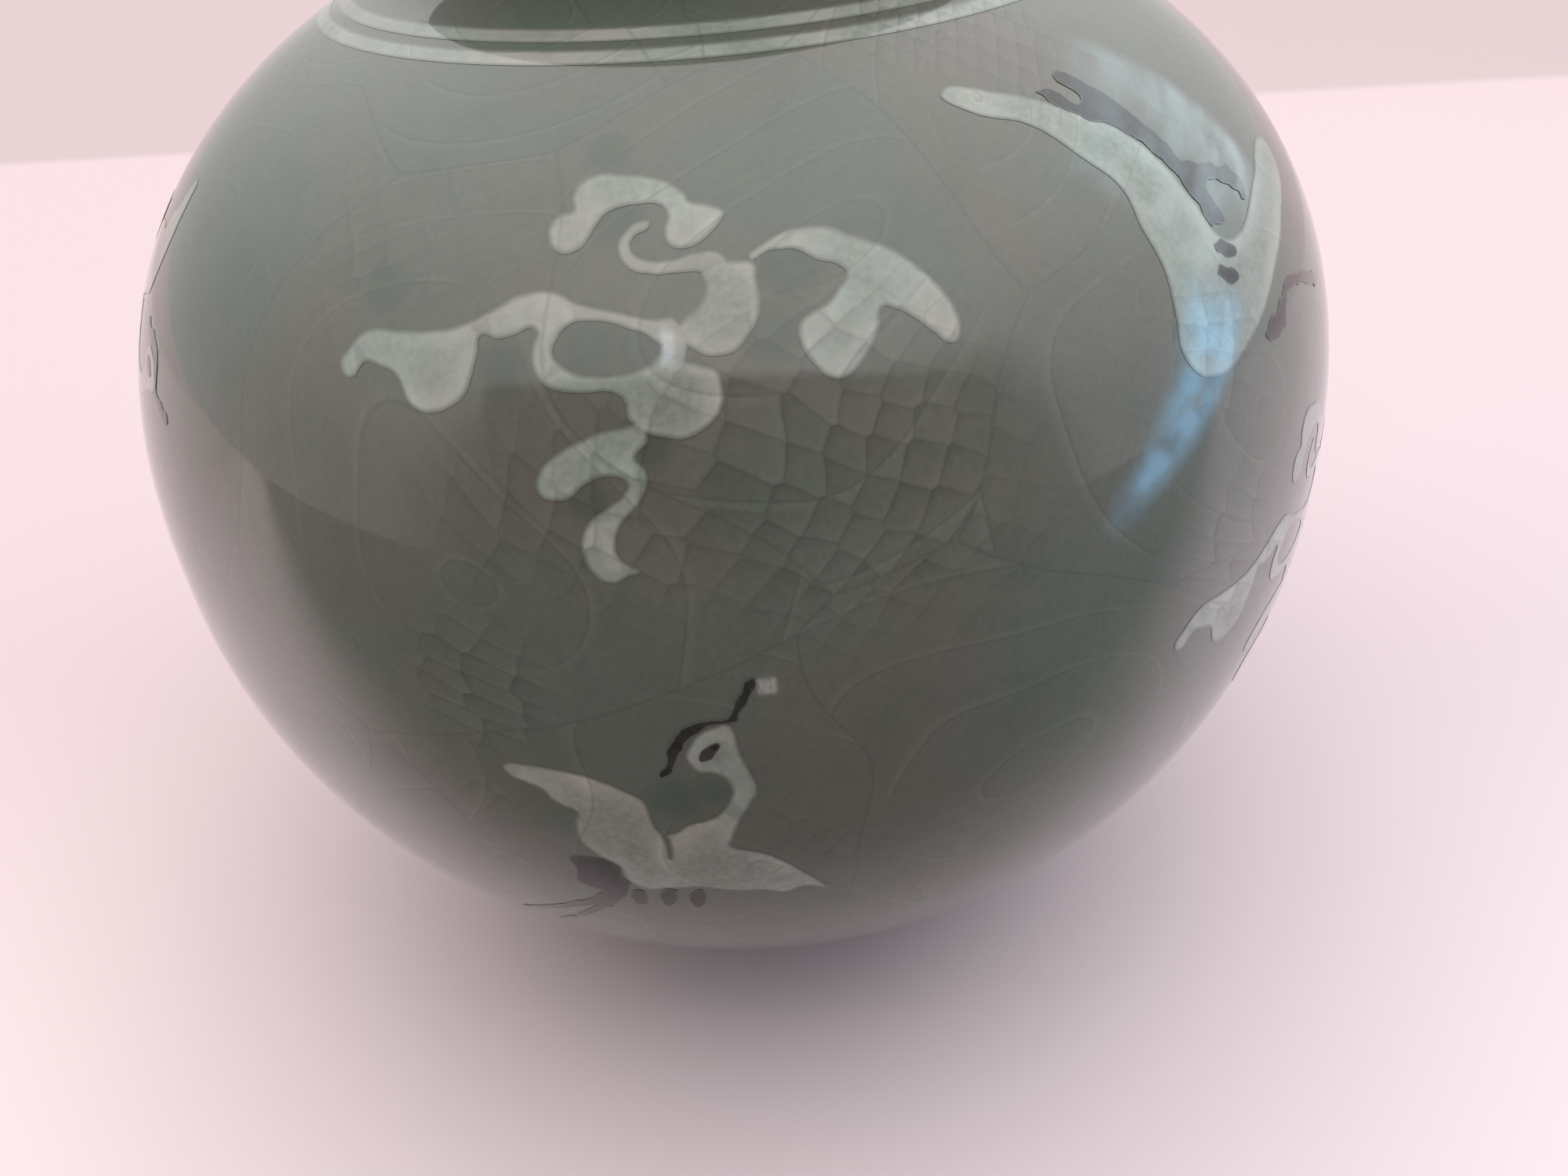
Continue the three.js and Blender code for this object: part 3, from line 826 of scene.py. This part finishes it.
def slab(outline):
    """A flat slab with a smooth outline, its top at zero."""
    clear_selection()
    bpy.ops.curve.primitive_bezier_circle_add(radius=1)
    piece = bpy.context.object
    shape = piece.data
    shape.dimensions = "2D"
    shape.fill_mode = "BOTH"
    shape.extrude = FLAT_DEPTH / 2
    shape.resolution_u = CURVE_STEPS
    spline = shape.splines[0]
    spline.bezier_points.add(len(outline) - len(spline.bezier_points))
    for knot, (across, up) in zip(spline.bezier_points, outline):
        knot.co = (across, up, 0)
        knot.handle_left_type = knot.handle_right_type = "AUTO"
    bpy.ops.object.convert(target="MESH")
    edit_all()
    bpy.ops.transform.translate(value=(0, 0, -FLAT_DEPTH / 2))
    bpy.ops.mesh.remove_doubles(threshold=FLAT_WELD)
    bpy.ops.mesh.dissolve_limited(angle_limit=STRAIGHT)
    bpy.ops.mesh.normals_make_consistent(inside=False)
    bpy.ops.object.mode_set(mode="OBJECT")
    return piece


def select_only(piece):
    clear_selection()
    bpy.context.view_layer.objects.active = piece
    piece.select_set(True)


def combine(piece, other, operation):
    """Joins or cuts one slab with another, which is used up."""
    select_only(piece)
    modifier = piece.modifiers.new("combine", "BOOLEAN")
    modifier.operation = operation
    modifier.solver = "EXACT"
    modifier.object = other
    bpy.ops.object.modifier_apply(modifier=modifier.name)
    bpy.data.objects.remove(other)


print("a drawing is a slab", round(FLAT_DEPTH, 2), "mm deep")

# %% [markdown]
# The top of the slab is inset by a hair, which makes the narrow border where the slip bleeds. A flat
# slab can't lie on a round belly until it has enough faces to bend, so it is cut every millimetre
# both ways. Last, it gets a little of the carver's unevenness, from a noise that is the same every
# time.

# %% Making a drawing ready to bend
GRID, GRID_SHIFT = 1.0, 0.01
NEAR = 1e-5
LEVEL_FACE = 0.9
WOBBLE_GRAIN = 1.3


def drawn(outlines, holes=(), wobble=0.05, border=0.2):
    """One drawing, its outlines joined and holes cut, ready to lay on the vase."""
    piece = slab(outlines[0])
    for outline in outlines[1:]:
        combine(piece, slab(outline), "UNION")
    for outline in holes:
        combine(piece, slab(outline), "DIFFERENCE")
    select_only(piece)
    low = [min(v.co[axis] for v in piece.data.vertices) for axis in (0, 1)]
    high = [max(v.co[axis] for v in piece.data.vertices) for axis in (0, 1)]
    edit_all()
    bpy.ops.mesh.dissolve_limited(angle_limit=STRAIGHT)
    bpy.ops.mesh.select_all(action="DESELECT")
    bpy.ops.object.mode_set(mode="OBJECT")
    for face in piece.data.polygons:
        face.select = face.normal.z > LEVEL_FACE
    bpy.ops.object.mode_set(mode="EDIT")
    bpy.ops.mesh.select_mode(type="FACE")
    bpy.ops.mesh.inset(thickness=border, depth=0, use_even_offset=False)
    for axis, direction in enumerate(((1, 0, 0), (0, 1, 0))):
        for cut in range(math.ceil(low[axis] / GRID), math.floor(high[axis] / GRID) + 1):
            bpy.ops.mesh.select_all(action="SELECT")
            place = tuple(part * (cut * GRID + GRID_SHIFT) for part in direction)
            bpy.ops.mesh.bisect(plane_co=place, plane_no=direction, threshold=NEAR)
    bpy.ops.mesh.select_all(action="SELECT")
    bpy.ops.mesh.remove_doubles(threshold=NEAR)
    bpy.ops.mesh.quads_convert_to_tris(quad_method="BEAUTY", ngon_method="BEAUTY")
    bpy.ops.mesh.normals_make_consistent(inside=False)
    bpy.ops.object.mode_set(mode="OBJECT")
    inward = piece.data.attributes.new("inward", "FLOAT", "POINT")
    sides = [face for face in piece.data.polygons if abs(face.normal.z) < LEVEL_FACE]
    rim = {corner for face in sides for corner in face.vertices}
    rim_tree = kdtree.KDTree(len(rim))
    for corner in rim:
        rim_tree.insert(piece.data.vertices[corner].co * Vector((1, 1, 0)), corner)
    rim_tree.balance()
    for vertex in piece.data.vertices:
        across, up = vertex.co.xy
        inward.data[vertex.index].value = rim_tree.find((across, up, 0))[2]
        vertex.co.x += wobble * noise.noise(Vector((across * WOBBLE_GRAIN, up * WOBBLE_GRAIN, 4.0)))
        vertex.co.y += wobble * noise.noise(Vector((across * WOBBLE_GRAIN, up * WOBBLE_GRAIN, 9.0)))
    return piece


print("a drawing is cut every", GRID, "mm")

# %% [markdown]
# Laying a drawing on the vase is the potter's transfer: turn it on the bench, then lay it round the
# belly at its bearing and rise. Every corner is moved by the measured line made above. The top faces
# take the belly's own normals, so that the gloss runs over clay and slip as one sheet of glass.

# %% Laying a drawing on the vase
TOP_FACE = 0.7
WHITE_LAYER = (WHITE_LIFT, white_slip, "white_slip")
BLACK_LAYER = (BLACK_LIFT, black_slip, "black_slip")


def lay(name, drawing, azimuth, rise, turned, lift, finish, slot):
    """Bends a copy of a drawing onto the belly, in the place of its node."""
    piece = bpy.data.objects.new(name, drawing.data.copy())
    scene.collection.objects.link(piece)
    mesh = piece.data
    bearing, angle = math.radians(azimuth), math.radians(turned)
    level = rise * MM
    for vertex in mesh.vertices:
        across, up, depth = vertex.co * MM
        turned_across = across * math.cos(angle) - up * math.sin(angle)
        turned_up = across * math.sin(angle) + up * math.cos(angle)
        vertex.co = on_belly(bearing, level, turned_across, turned_up, lift + depth)
    mesh.polygons.foreach_set("use_smooth", [True] * len(mesh.polygons))
    normals = [Vector((0, 0, 1))] * len(mesh.loops)
    for face in mesh.polygons:
        for loop in face.loop_indices:
            corner = mesh.vertices[mesh.loops[loop].vertex_index].co
            out, up = section_normal(corner.z)
            girth = math.hypot(corner.x, corner.y)
            surface = Vector((corner.x / girth * out, corner.y / girth * out, up))
            normals[loop] = surface if face.normal.dot(surface) > TOP_FACE else face.normal.copy()
    mesh.normals_split_custom_set(normals)
    finished(piece, finish, slot, name)


print("slip stands proud by", WHITE_LIFT / MM, "mm in white and", BLACK_LIFT / MM, "mm in black")

# %% [markdown]
# The cloud is the traditional mushroom cloud with three arms: a left arm that curls into a ring, a
# crown with a hook inside it, a right arm that ends in a scroll, and a tail below in the shape of an
# S. Each was carved as one shallow bed and filled with white slip.

# %% Cloud
cloud_left_arm = (
    (-17.9, -0.3), (-17.3, 0.7), (-16, 1.8), (-14, 2.0), (-12, 2.2), (-10.5, 2.5), (-9, 3.2), (-7.8, 3.9),
    (-6.8, 4.3), (-5.5, 4.4), (-4.2, 3.8), (-2.6, 3.4), (-0.6, 2.9), (0.6, 2.8), (0.9, 0.4), (-0.4, -1),
    (-1.4, -1.9), (-2.4, -0.7), (-4.2, -0.6), (-5.4, -0.5), (-6.2, -0.1), (-6.6, 0.6), (-6.6, 1.6),
    (-6.4, 2.4), (-7.6, 2.1), (-8.4, 1.9), (-9.2, 2.1), (-9.5, 1.2), (-9.8, 0.2), (-10.2, -0.8),
    (-11, -1.5), (-12.2, -1.95), (-13.4, -1.7), (-14.4, -0.2), (-15.2, 0), (-16, 0.2), (-17.3, -0.8),
)
cloud_ring_hole = (
    (-5.5, 1.3), (-5.2, 2.1), (-4.6, 2.7), (-3.6, 2.85), (-2.6, 2.75), (-1.6, 2.4), (-0.6, 1.9), (-0.2, 1.4),
    (-0.5, 0.9), (-1.2, 0.5), (-2.2, 0.25), (-3.4, 0.2), (-4.6, 0.4), (-5.2, 0.8),
)
cloud_crown = (
    (-5.7, 7.2), (-5.57, 7.9), (-5, 8.43), (-4.45, 8.6), (-4.5, 9.3), (-4.1, 10.1), (-3.45, 10.55),
    (-2.75, 10.65), (-1.85, 10.55), (-0.8, 10.4), (0.1, 10.1), (0.8, 9.6), (1.25, 9.15), (1.35, 8.9),
    (2.25, 8.6), (3.05, 8.05), (2.9, 7.6), (2.4, 7.0), (1.7, 6.45), (1, 6.3), (0.4, 6.45), (0.1, 7.2),
    (0.2, 8.25), (-0.1, 8.7), (-1.15, 8.8), (-2, 8.7), (-2.75, 8.35), (-3.2, 7.8), (-3.65, 7),
    (-4.1, 6.45), (-4.9, 6.25), (-5.4, 6.45),
)
cloud_hook = stroke((-0.8, 7.7, 0.25), (-1.6, 7.2, 0.28), (-1.85, 6.5, 0.35), (-1.5, 5.8, 0.38),
                    (-0.6, 5.45, 0.36), (0.6, 5.45, 0.36), (1.6, 5.6, 0.5), (2.6, 5.4, 0.6))
cloud_right_disc = (
    (4.7, 3.2), (4.55, 4.5), (4.4, 5.35), (3.8, 5.5), (2.6, 5.45), (1.9, 5.2), (2.0, 4.15), (1.7, 3.4),
    (1.1, 2.95), (0.7, 2.5), (0.8, 1.8), (1.4, 1.25), (2.2, 0.9), (3.3, 1.0), (4.1, 1.8), (4.6, 2.7),
)
cloud_right_arm = (
    (4.2, 5.5), (5.1, 6.35), (6.05, 6.75), (6.95, 6.85), (8.1, 6.7), (9.45, 6.0), (10.8, 5.35),
    (11.95, 4.55), (13.1, 3.4), (14, 2.3), (14.55, 1.25), (14.7, 0.35), (14.35, -0.2), (13.3, 0.45),
    (12.4, 1.25), (11.3, 2.05), (10.7, 2.2), (10.5, 1.4), (10.1, 0.5), (9.5, -0.3), (8.8, -0.85),
    (8.0, -0.8), (7.2, -0.1), (6.6, 0.9), (6.45, 1.9), (7.1, 2.55), (7.9, 2.85), (8.45, 3.5), (8.9, 4.2),
    (8.65, 4.55), (7.4, 5.1), (6.5, 5.7), (5.8, 5.8), (5.15, 5.8),
)
cloud_lower_disc = (
    (2.75, -0.7), (2.5, 0.2), (1.7, 0.55), (0.6, 0.8), (-0.5, 0.4), (-2, -1.35), (-1.45, -2.4),
    (-0.1, -2.85), (0.8, -2.95), (1.95, -2.4), (2.6, -1.6),
)
cloud_tail = (
    (-1.45, -2.2), (-2.4, -2.3), (-3.3, -2.45), (-4.6, -2.95), (-5.8, -3.65), (-6.6, -4.45), (-6.85, -5.1),
    (-6.55, -5.7), (-5.9, -5.85), (-5.1, -5.7), (-4.4, -5.1), (-3.7, -4.75), (-2.8, -4.65), (-2.2, -5),
    (-2.4, -5.45), (-3.3, -6.15), (-4.2, -6.8), (-4.75, -7.7), (-4.75, -8.65), (-4.3, -9.55), (-3.5, -10),
    (-2.6, -9.7), (-1.9, -9.3), (-2.35, -9.1), (-2.9, -8.6), (-3, -7.95), (-2.6, -6.95), (-1.7, -6),
    (-1.2, -5.1), (-1.2, -4.3), (-1.7, -3.75), (-1.0, -2.9),
)
cloud = drawn((cloud_left_arm, cloud_lower_disc, cloud_right_disc, cloud_right_arm, cloud_hook,
               cloud_crown, cloud_tail), (cloud_ring_hole,))
cloud_places = {
    "cloud_shoulder_front": (-4, 22.5, 0), "cloud_shoulder_right": (112, 22.5, 4),
    "cloud_shoulder_left": (238, 22.5, -4), "cloud_belly_right": (56, -0.5, -8),
    "cloud_belly_back": (196, -1.5, 3),
}
for node, (azimuth, rise, turned) in cloud_places.items():
    lay(node, cloud, azimuth, rise, turned, *WHITE_LAYER)
print("cloud has", len(cloud.data.polygons), "faces")

# %% [markdown]
# The flying crane has white plumage, which is body, both wings, neck and head in one bed. Black slip
# gives the crest with the bill, the eye, the tail with its trailing legs, and three wing feathers.

# %% Flying crane
crane_plumage = (
    (-8.4, 3.8), (-7.05, 4.15), (-5.2, 4.05), (-3.65, 3.8), (-2.3, 3.25), (-1.15, 2.55), (-0.45, 2),
    (-0.25, 1.3), (-0.1, -0.05), (0.25, -0.75), (0.9, -0.75), (1.8, 0), (2.95, 0.4), (3.85, 1.1), (4.4, 2),
    (4.55, 2.9), (4.3, 3.6), (3.65, 4.05), (2.95, 4.15), (2.5, 4.7), (2.3, 5.4), (2.6, 6.1), (3.2, 6.9),
    (4.1, 7.35), (4.75, 7.45), (5.1, 6.9), (5.2, 5.85), (5.55, 4.5), (5.9, 3.35), (6, 2.7), (5.55, 1.55),
    (5, 0.65), (4.55, -0.5), (4.2, -1.4), (4.1, -2.1), (5, -2.55), (6.15, -3.2), (7.25, -4.35), (8.2, -5.7),
    (8.85, -6.85), (9.1, -7.8), (8.65, -7.55), (7.7, -7.3), (6.8, -7.8), (5.45, -7.3), (3.85, -7.2),
    (2.7, -6.9), (1.8, -6.65), (0.7, -6.75), (-0.45, -6.85), (-1.6, -7.1), (-2.5, -6.4), (-2.85, -5.5),
    (-2.95, -4.35), (-3.65, -3.7), (-4.3, -3), (-4.8, -2.1), (-4.9, -0.95), (-4.8, -0.05), (-4.55, 0.65),
    (-5.25, 1.1), (-5.9, 1.55), (-6.25, 2.2), (-7.3, 2.7), (-8.2, 3.15),
)
crane_slit = stroke((0.15, -0.2, 0.06), (0.45, -1.6, 0.09), (0.35, -3.2, 0.04))
crane_crest = stroke((0.9, 3.95, 0.2), (1.35, 4.75, 0.26), (1.7, 5.75, 0.34), (2.25, 6.65, 0.34),
                     (3.2, 7.45, 0.28), (4.1, 7.65, 0.2), (5, 7.7, 0.26), (5.45, 8.6, 0.32),
                     (5.9, 9.5, 0.28), (6.35, 10.2, 0.16))
crane_tail = (
    (-5.7, -3.9), (-5, -3.7), (-3.65, -3.7), (-2.95, -4.6), (-2.95, -5.7), (-2.7, -6.85), (-3.6, -7.8),
    (-5.2, -7.55), (-5.9, -6.85), (-5.8, -5.3),
)
crane_legs = (
    stroke((-3.3, -6.6, 0.6), (-4.3, -8.4, 0.5), (-8.3, -11.8, 0.34), (-12.4, -15, 0.12)),
    stroke((-3.4, -6.8, 0.6), (-4.2, -8.9, 0.45), (-6.6, -12.2, 0.3), (-9.4, -15.6, 0.12)),
)
crane_eye = stroke((3.25, 5.25, 0.26), (3.6, 5.6, 0.36), (4.05, 6.05, 0.22))
BLACK_BORDER = 0.1


def mark(wobble, *path):
    """A drawing of one black stroke."""
    return drawn((stroke(*path),), wobble=wobble, border=BLACK_BORDER)


def lay_bird(bird, parts, azimuth, rise, turned):
    """Lays every part of one bird: plumage in white slip, all else in black."""
    for part, drawing in parts.items():
        layer = WHITE_LAYER if part == "plumage" else BLACK_LAYER
        lay(f"{bird}_{part}", drawing, azimuth, rise, turned, *layer)


crane_parts = {
    "plumage": drawn((crane_plumage,), (crane_slit,)),
    "crest": drawn((crane_crest,), wobble=0.25, border=BLACK_BORDER),
    "eye": drawn((crane_eye,), wobble=0.15, border=0.08),
    "tail": drawn((crane_tail,) + crane_legs, wobble=0.25, border=BLACK_BORDER),
    "feather_1": mark(0.2, (-2.3, -7.6, 0.38), (-2.5, -9.3, 0.32)),
    "feather_2": mark(0.2, (-0.3, -7.2, 0.38), (-0.7, -9.1, 0.32)),
    "feather_3": mark(0.2, (1.5, -7.3, 0.38), (1.1, -9.2, 0.32)),
}
crane_places = {
    "crane_belly_front": (-8, -2.25, 0), "crane_belly_right": (125, -2.25, 6),
    "crane_belly_left": (266, -2.25, -6), "crane_shoulder_left": (-68, 20, -81),
    "crane_shoulder_back": (176, 20, -60),
}
for bird, (azimuth, rise, turned) in crane_places.items():
    lay_bird(bird, crane_parts, azimuth, rise, turned)
print("flying crane has", sum(len(part.data.polygons) for part in crane_parts.values()), "faces")

# %% [markdown]
# One crane on the right shoulder soars with raised wings. A black row of flight feathers runs beside
# the white wing, with two loose feathers under it, and a long black crest and bill.

# %% Soaring crane
soaring_plumage = (
    (-9.2, 13), (-8.7, 11.6), (-5.9, 9.8), (-4.3, 7), (-3.2, 5), (-3.4, 2.5), (-3.3, 0), (-3.9, -2.6),
    (-4.3, -4.4), (-2.8, -6.4), (2.4, -5.8), (7.4, -3.5), (11, -1.8), (15.4, 1.2), (14.8, 2.4), (9, 1.2),
    (4, -0.4), (2.4, 0.2), (1.7, 2.6), (1, 5), (0, 7.2), (-3, 10.2), (-6, 12.2),
)
flight_row = (
    (-3.7, 11.8), (-2.9, 9.8), (-0.6, 8), (1.2, 5), (2, 2), (2.3, 0.8), (3.4, 0.8), (3.8, 3), (5.3, 2.5),
    (6.5, 1.6), (6.9, 0.9), (7.6, 2.3), (5.6, 3.7), (3.2, 4.6), (1.7, 7.6), (-0.3, 11.2), (-1.7, 12.5),
    (-2, 11.9), (-1.4, 10.3),
)
soaring_parts = {
    "plumage": drawn((soaring_plumage,)),
    "flight_row": drawn((flight_row,), wobble=0.35, border=BLACK_BORDER),
    "feather_1": mark(0.25, (1.9, -0.3, 0.38), (3, -1, 0.36)),
    "feather_2": mark(0.25, (1.2, -1.6, 0.36), (2.3, -2.3, 0.4)),
    "crest": mark(0.3, (4.4, -6.4, 0.5), (6, -6.3, 0.6), (7.8, -5.1, 0.36), (11, -5.5, 0.36),
                  (14.8, -7.1, 0.3)),
}
lay_bird("crane_shoulder_right", soaring_parts, 42, 22.5, 0)
for drawing in [cloud, *crane_parts.values(), *soaring_parts.values()]:
    bpy.data.objects.remove(drawing)
print("soaring crane laid, drawings cleared away")

# %% [markdown]
# The vase stands on a pale table in soft light. A glossy pot mirrors the whole room, so the room is
# painted in the world: pale above, behind and at the sides, and dim in front, where the viewer
# stands. That is what leaves the middle of the belly deep and its rims pale. The camera itself sees
# only the pale table.

# %% Table
TABLE_SIZE = 3.0
bpy.ops.mesh.primitive_plane_add(size=TABLE_SIZE, location=(0, 0, 0))
floor = bpy.context.object
floor.name = "table"
table_finish = Finish("table")
depth_back = table_finish.vector("DOT_PRODUCT", table_finish.in_mm(), (0.10, 1.0, 0.0), output=1)
# The table's tone holds painted light: it is palest just in front of the vase, to lift the shade of the lens
# flag and the vase there, and darker far in front and behind, to hold back the stronger light there. Beyond
# 240 mm it turns a little darker again.
table_tone_and_painted_light = tone(200, 184, 187)
for nearer, farther, next_tone in ((-170, -70, tone(245, 227, 230)), (-70, 25, tone(210, 192, 195)),
                                   (236, 244, tone(194, 177, 179))):
    table_tone_and_painted_light = table_finish.mix(table_finish.step(depth_back, nearer, farther), table_tone_and_painted_light, next_tone)
table_finish.feed({"Base Color": table_tone_and_painted_light, "Roughness": 0.9, "Specular IOR Level": 0.1})
floor.data.materials.append(table_finish.material)
print("the table is", TABLE_SIZE, "m wide")

# %% [markdown]
# A photographer keeps a shiny pot from mirroring the whole room with dark cards, called flags. One
# stands just behind the lens and gives the belly its deep middle. Another lies in front on the table,
# casts no shade and shows only in the gloss: a painted reflection of shade on the table, so that the
# lower belly doesn't mirror the pale table. Both fade out at their edges.

# %% Flags
def flat_sheet(name, width, height):
    """A sheet round the origin that the camera doesn't see, its finish, and the place on it."""
    clear_selection()
    bpy.ops.mesh.primitive_plane_add(size=1)
    sheet = bpy.context.object
    sheet.name = name
    bpy.ops.transform.resize(value=(width, height, 1))
    bpy.ops.object.transform_apply(location=False, rotation=False, scale=True)
    sheet.visible_camera = False
    finish = Finish(name)
    sheet.data.materials.append(finish.material)
    return sheet, finish, finish.add("ShaderNodeUVMap", {"uv_map": sheet.data.uv_layers[0].name})


def flag(name, width, height, fade, grey):
    """A dark card, facing up, that fades out at its edges."""
    card, finish, place = flat_sheet(name, width, height)
    across = finish.part(place)
    from_sides = across.from_ends() * (width / fade)
    from_ends = across.output(1).from_ends() * (height / fade)
    finish.feed({"Alpha": finish.step(from_sides, 0.0, 1.0) * finish.step(from_ends, 0.0, 1.0),
                 "Base Color": grey, "Roughness": 0.9})
    return card


lens_flag = flag("lens_flag", 150 * MM, 52 * MM, 5 * MM, tone(74, 74, 70))
lens_flag.matrix_world = Matrix.Translation(camera_place + backwards * 4 * MM - picture_up * 5 * MM) @ turn
# A painted reflection of shade: a dark sheet that casts no shade and shows only in the gloss, in place of
# the shaded table in front.
table_shade_in_gloss = flag("table_shade_in_gloss", 2800 * MM, 1440 * MM, 45 * MM, tone(84, 84, 80))
table_shade_in_gloss.matrix_world = Matrix.Translation((0, -745 * MM, 1 * MM))
table_shade_in_gloss.visible_diffuse = False
table_shade_in_gloss.visible_shadow = False
print("flags:", lens_flag.name, table_shade_in_gloss.name)

# %% Room light
PALE_LOW, PALE_HIGH = (0.80, 0.76, 0.76, 1.0), (2.05, 2.00, 1.98, 1.0)
DIM, LEFT_SHADE = (0.17, 0.17, 0.17, 1.0), (0.78, 0.78, 0.78, 1.0)
world = bpy.data.worlds.new("studio")
world.use_nodes = True
scene.world = world
room = Sheet(world.node_tree)
heading = room.add("ShaderNodeTexCoord", output=0)
height_up = room.part(heading, 2)
frontal = room.vector("DOT_PRODUCT", heading, (0.03, -1.0, 0.0), output=1)
leftward = room.vector("DOT_PRODUCT", heading, (-1.0, 0.0, 0.0), output=1)
pale = room.mix(room.step(height_up, 0.10, 0.95), PALE_LOW, PALE_HIGH)
dim_share = room.step(frontal, 0.40, 0.66) * room.step(height_up, 0.48, 0.68, 1.0, 0.0)
dimmed = room.mix(dim_share, room.mix(room.step(leftward, 0.1, 0.9), pale, LEFT_SHADE, "MULTIPLY"), DIM)
seen = room.add("ShaderNodeLightPath")
backdrop = room.mix(seen, dimmed, tone(236, 218, 218))
glow = room.add("ShaderNodeBackground", None, {0: backdrop, 1: 1.0})
output = world.node_tree.nodes.new("ShaderNodeOutputWorld")
world.node_tree.links.new(glow.socket, output.inputs[0])
print("room painted in", len(world.node_tree.nodes), "nodes")

# %% [markdown]
# Bright panes stand on the right and above, uneven and soft at their edges as curtains and bars leave
# a real window. The low one is cool and leaves the blue streak that bends round the right wall. The
# high one whitens the right shoulder. Two slivers leave the small glints on the cloud and on the bill.

# %% Window panes
def pane(name, first, last, width, colour, strength, soft=0.30, taper=0.0):
    """A glowing sheet between two places in millimetres, facing the belly, that tapers to the first."""
    first, last = Vector(first) * MM, Vector(last) * MM
    middle, run = (first + last) / 2, last - first
    along = run.normalized()
    away = (middle - Vector((0, 0, belly_height))).normalized()
    side = away.cross(along).normalized()
    facing = Matrix((along, side, along.cross(side))).transposed().to_4x4()
    sheet, finish, place = flat_sheet(name, run.length, width * MM)
    sheet.matrix_world = Matrix.Translation(middle) @ facing
    lengthwise = finish.part(place)
    ends = finish.step(lengthwise.from_ends(), 0.0, 0.20)
    from_side = lengthwise.output(1).from_ends()
    sides = finish.step(from_side - (1.0 - lengthwise) * taper, 0.02, soft)
    streaks = finish.noise(finish.vector("MULTIPLY", place, (7.0, 3.0, 1.0)), 1.0, 3.0)
    finish.feed({"Alpha": ends * sides * finish.step(streaks, 0.35, 0.62, 0.35, 1.0),
                 "Base Color": (0.0, 0.0, 0.0, 1.0), "Roughness": 1.0, "Specular IOR Level": 0.0,
                 "Emission Color": colour, "Emission Strength": strength})
    print(name, "is", round(run.length / MM, 1), "mm long")


pane("low_pane", (150, -112, 14), (172, 4, 92), 66, (0.26, 0.62, 1.0, 1.0), 5.6, taper=0.28)
pane("high_pane", (300, 84, 92), (210, 100, 276), 196, (0.80, 0.94, 1.0, 1.0), 2.7, soft=0.14)
pane("sliver", (-49, -209, 241), (-45, -173, 271), 13, (0.75, 0.85, 1.0, 1.0), 7.0)
pane("low_sliver", (-2.0, -115, 11.8), (4.6, -115, 11.8), 8, (1.0, 0.94, 0.90, 1.0), 4.0)
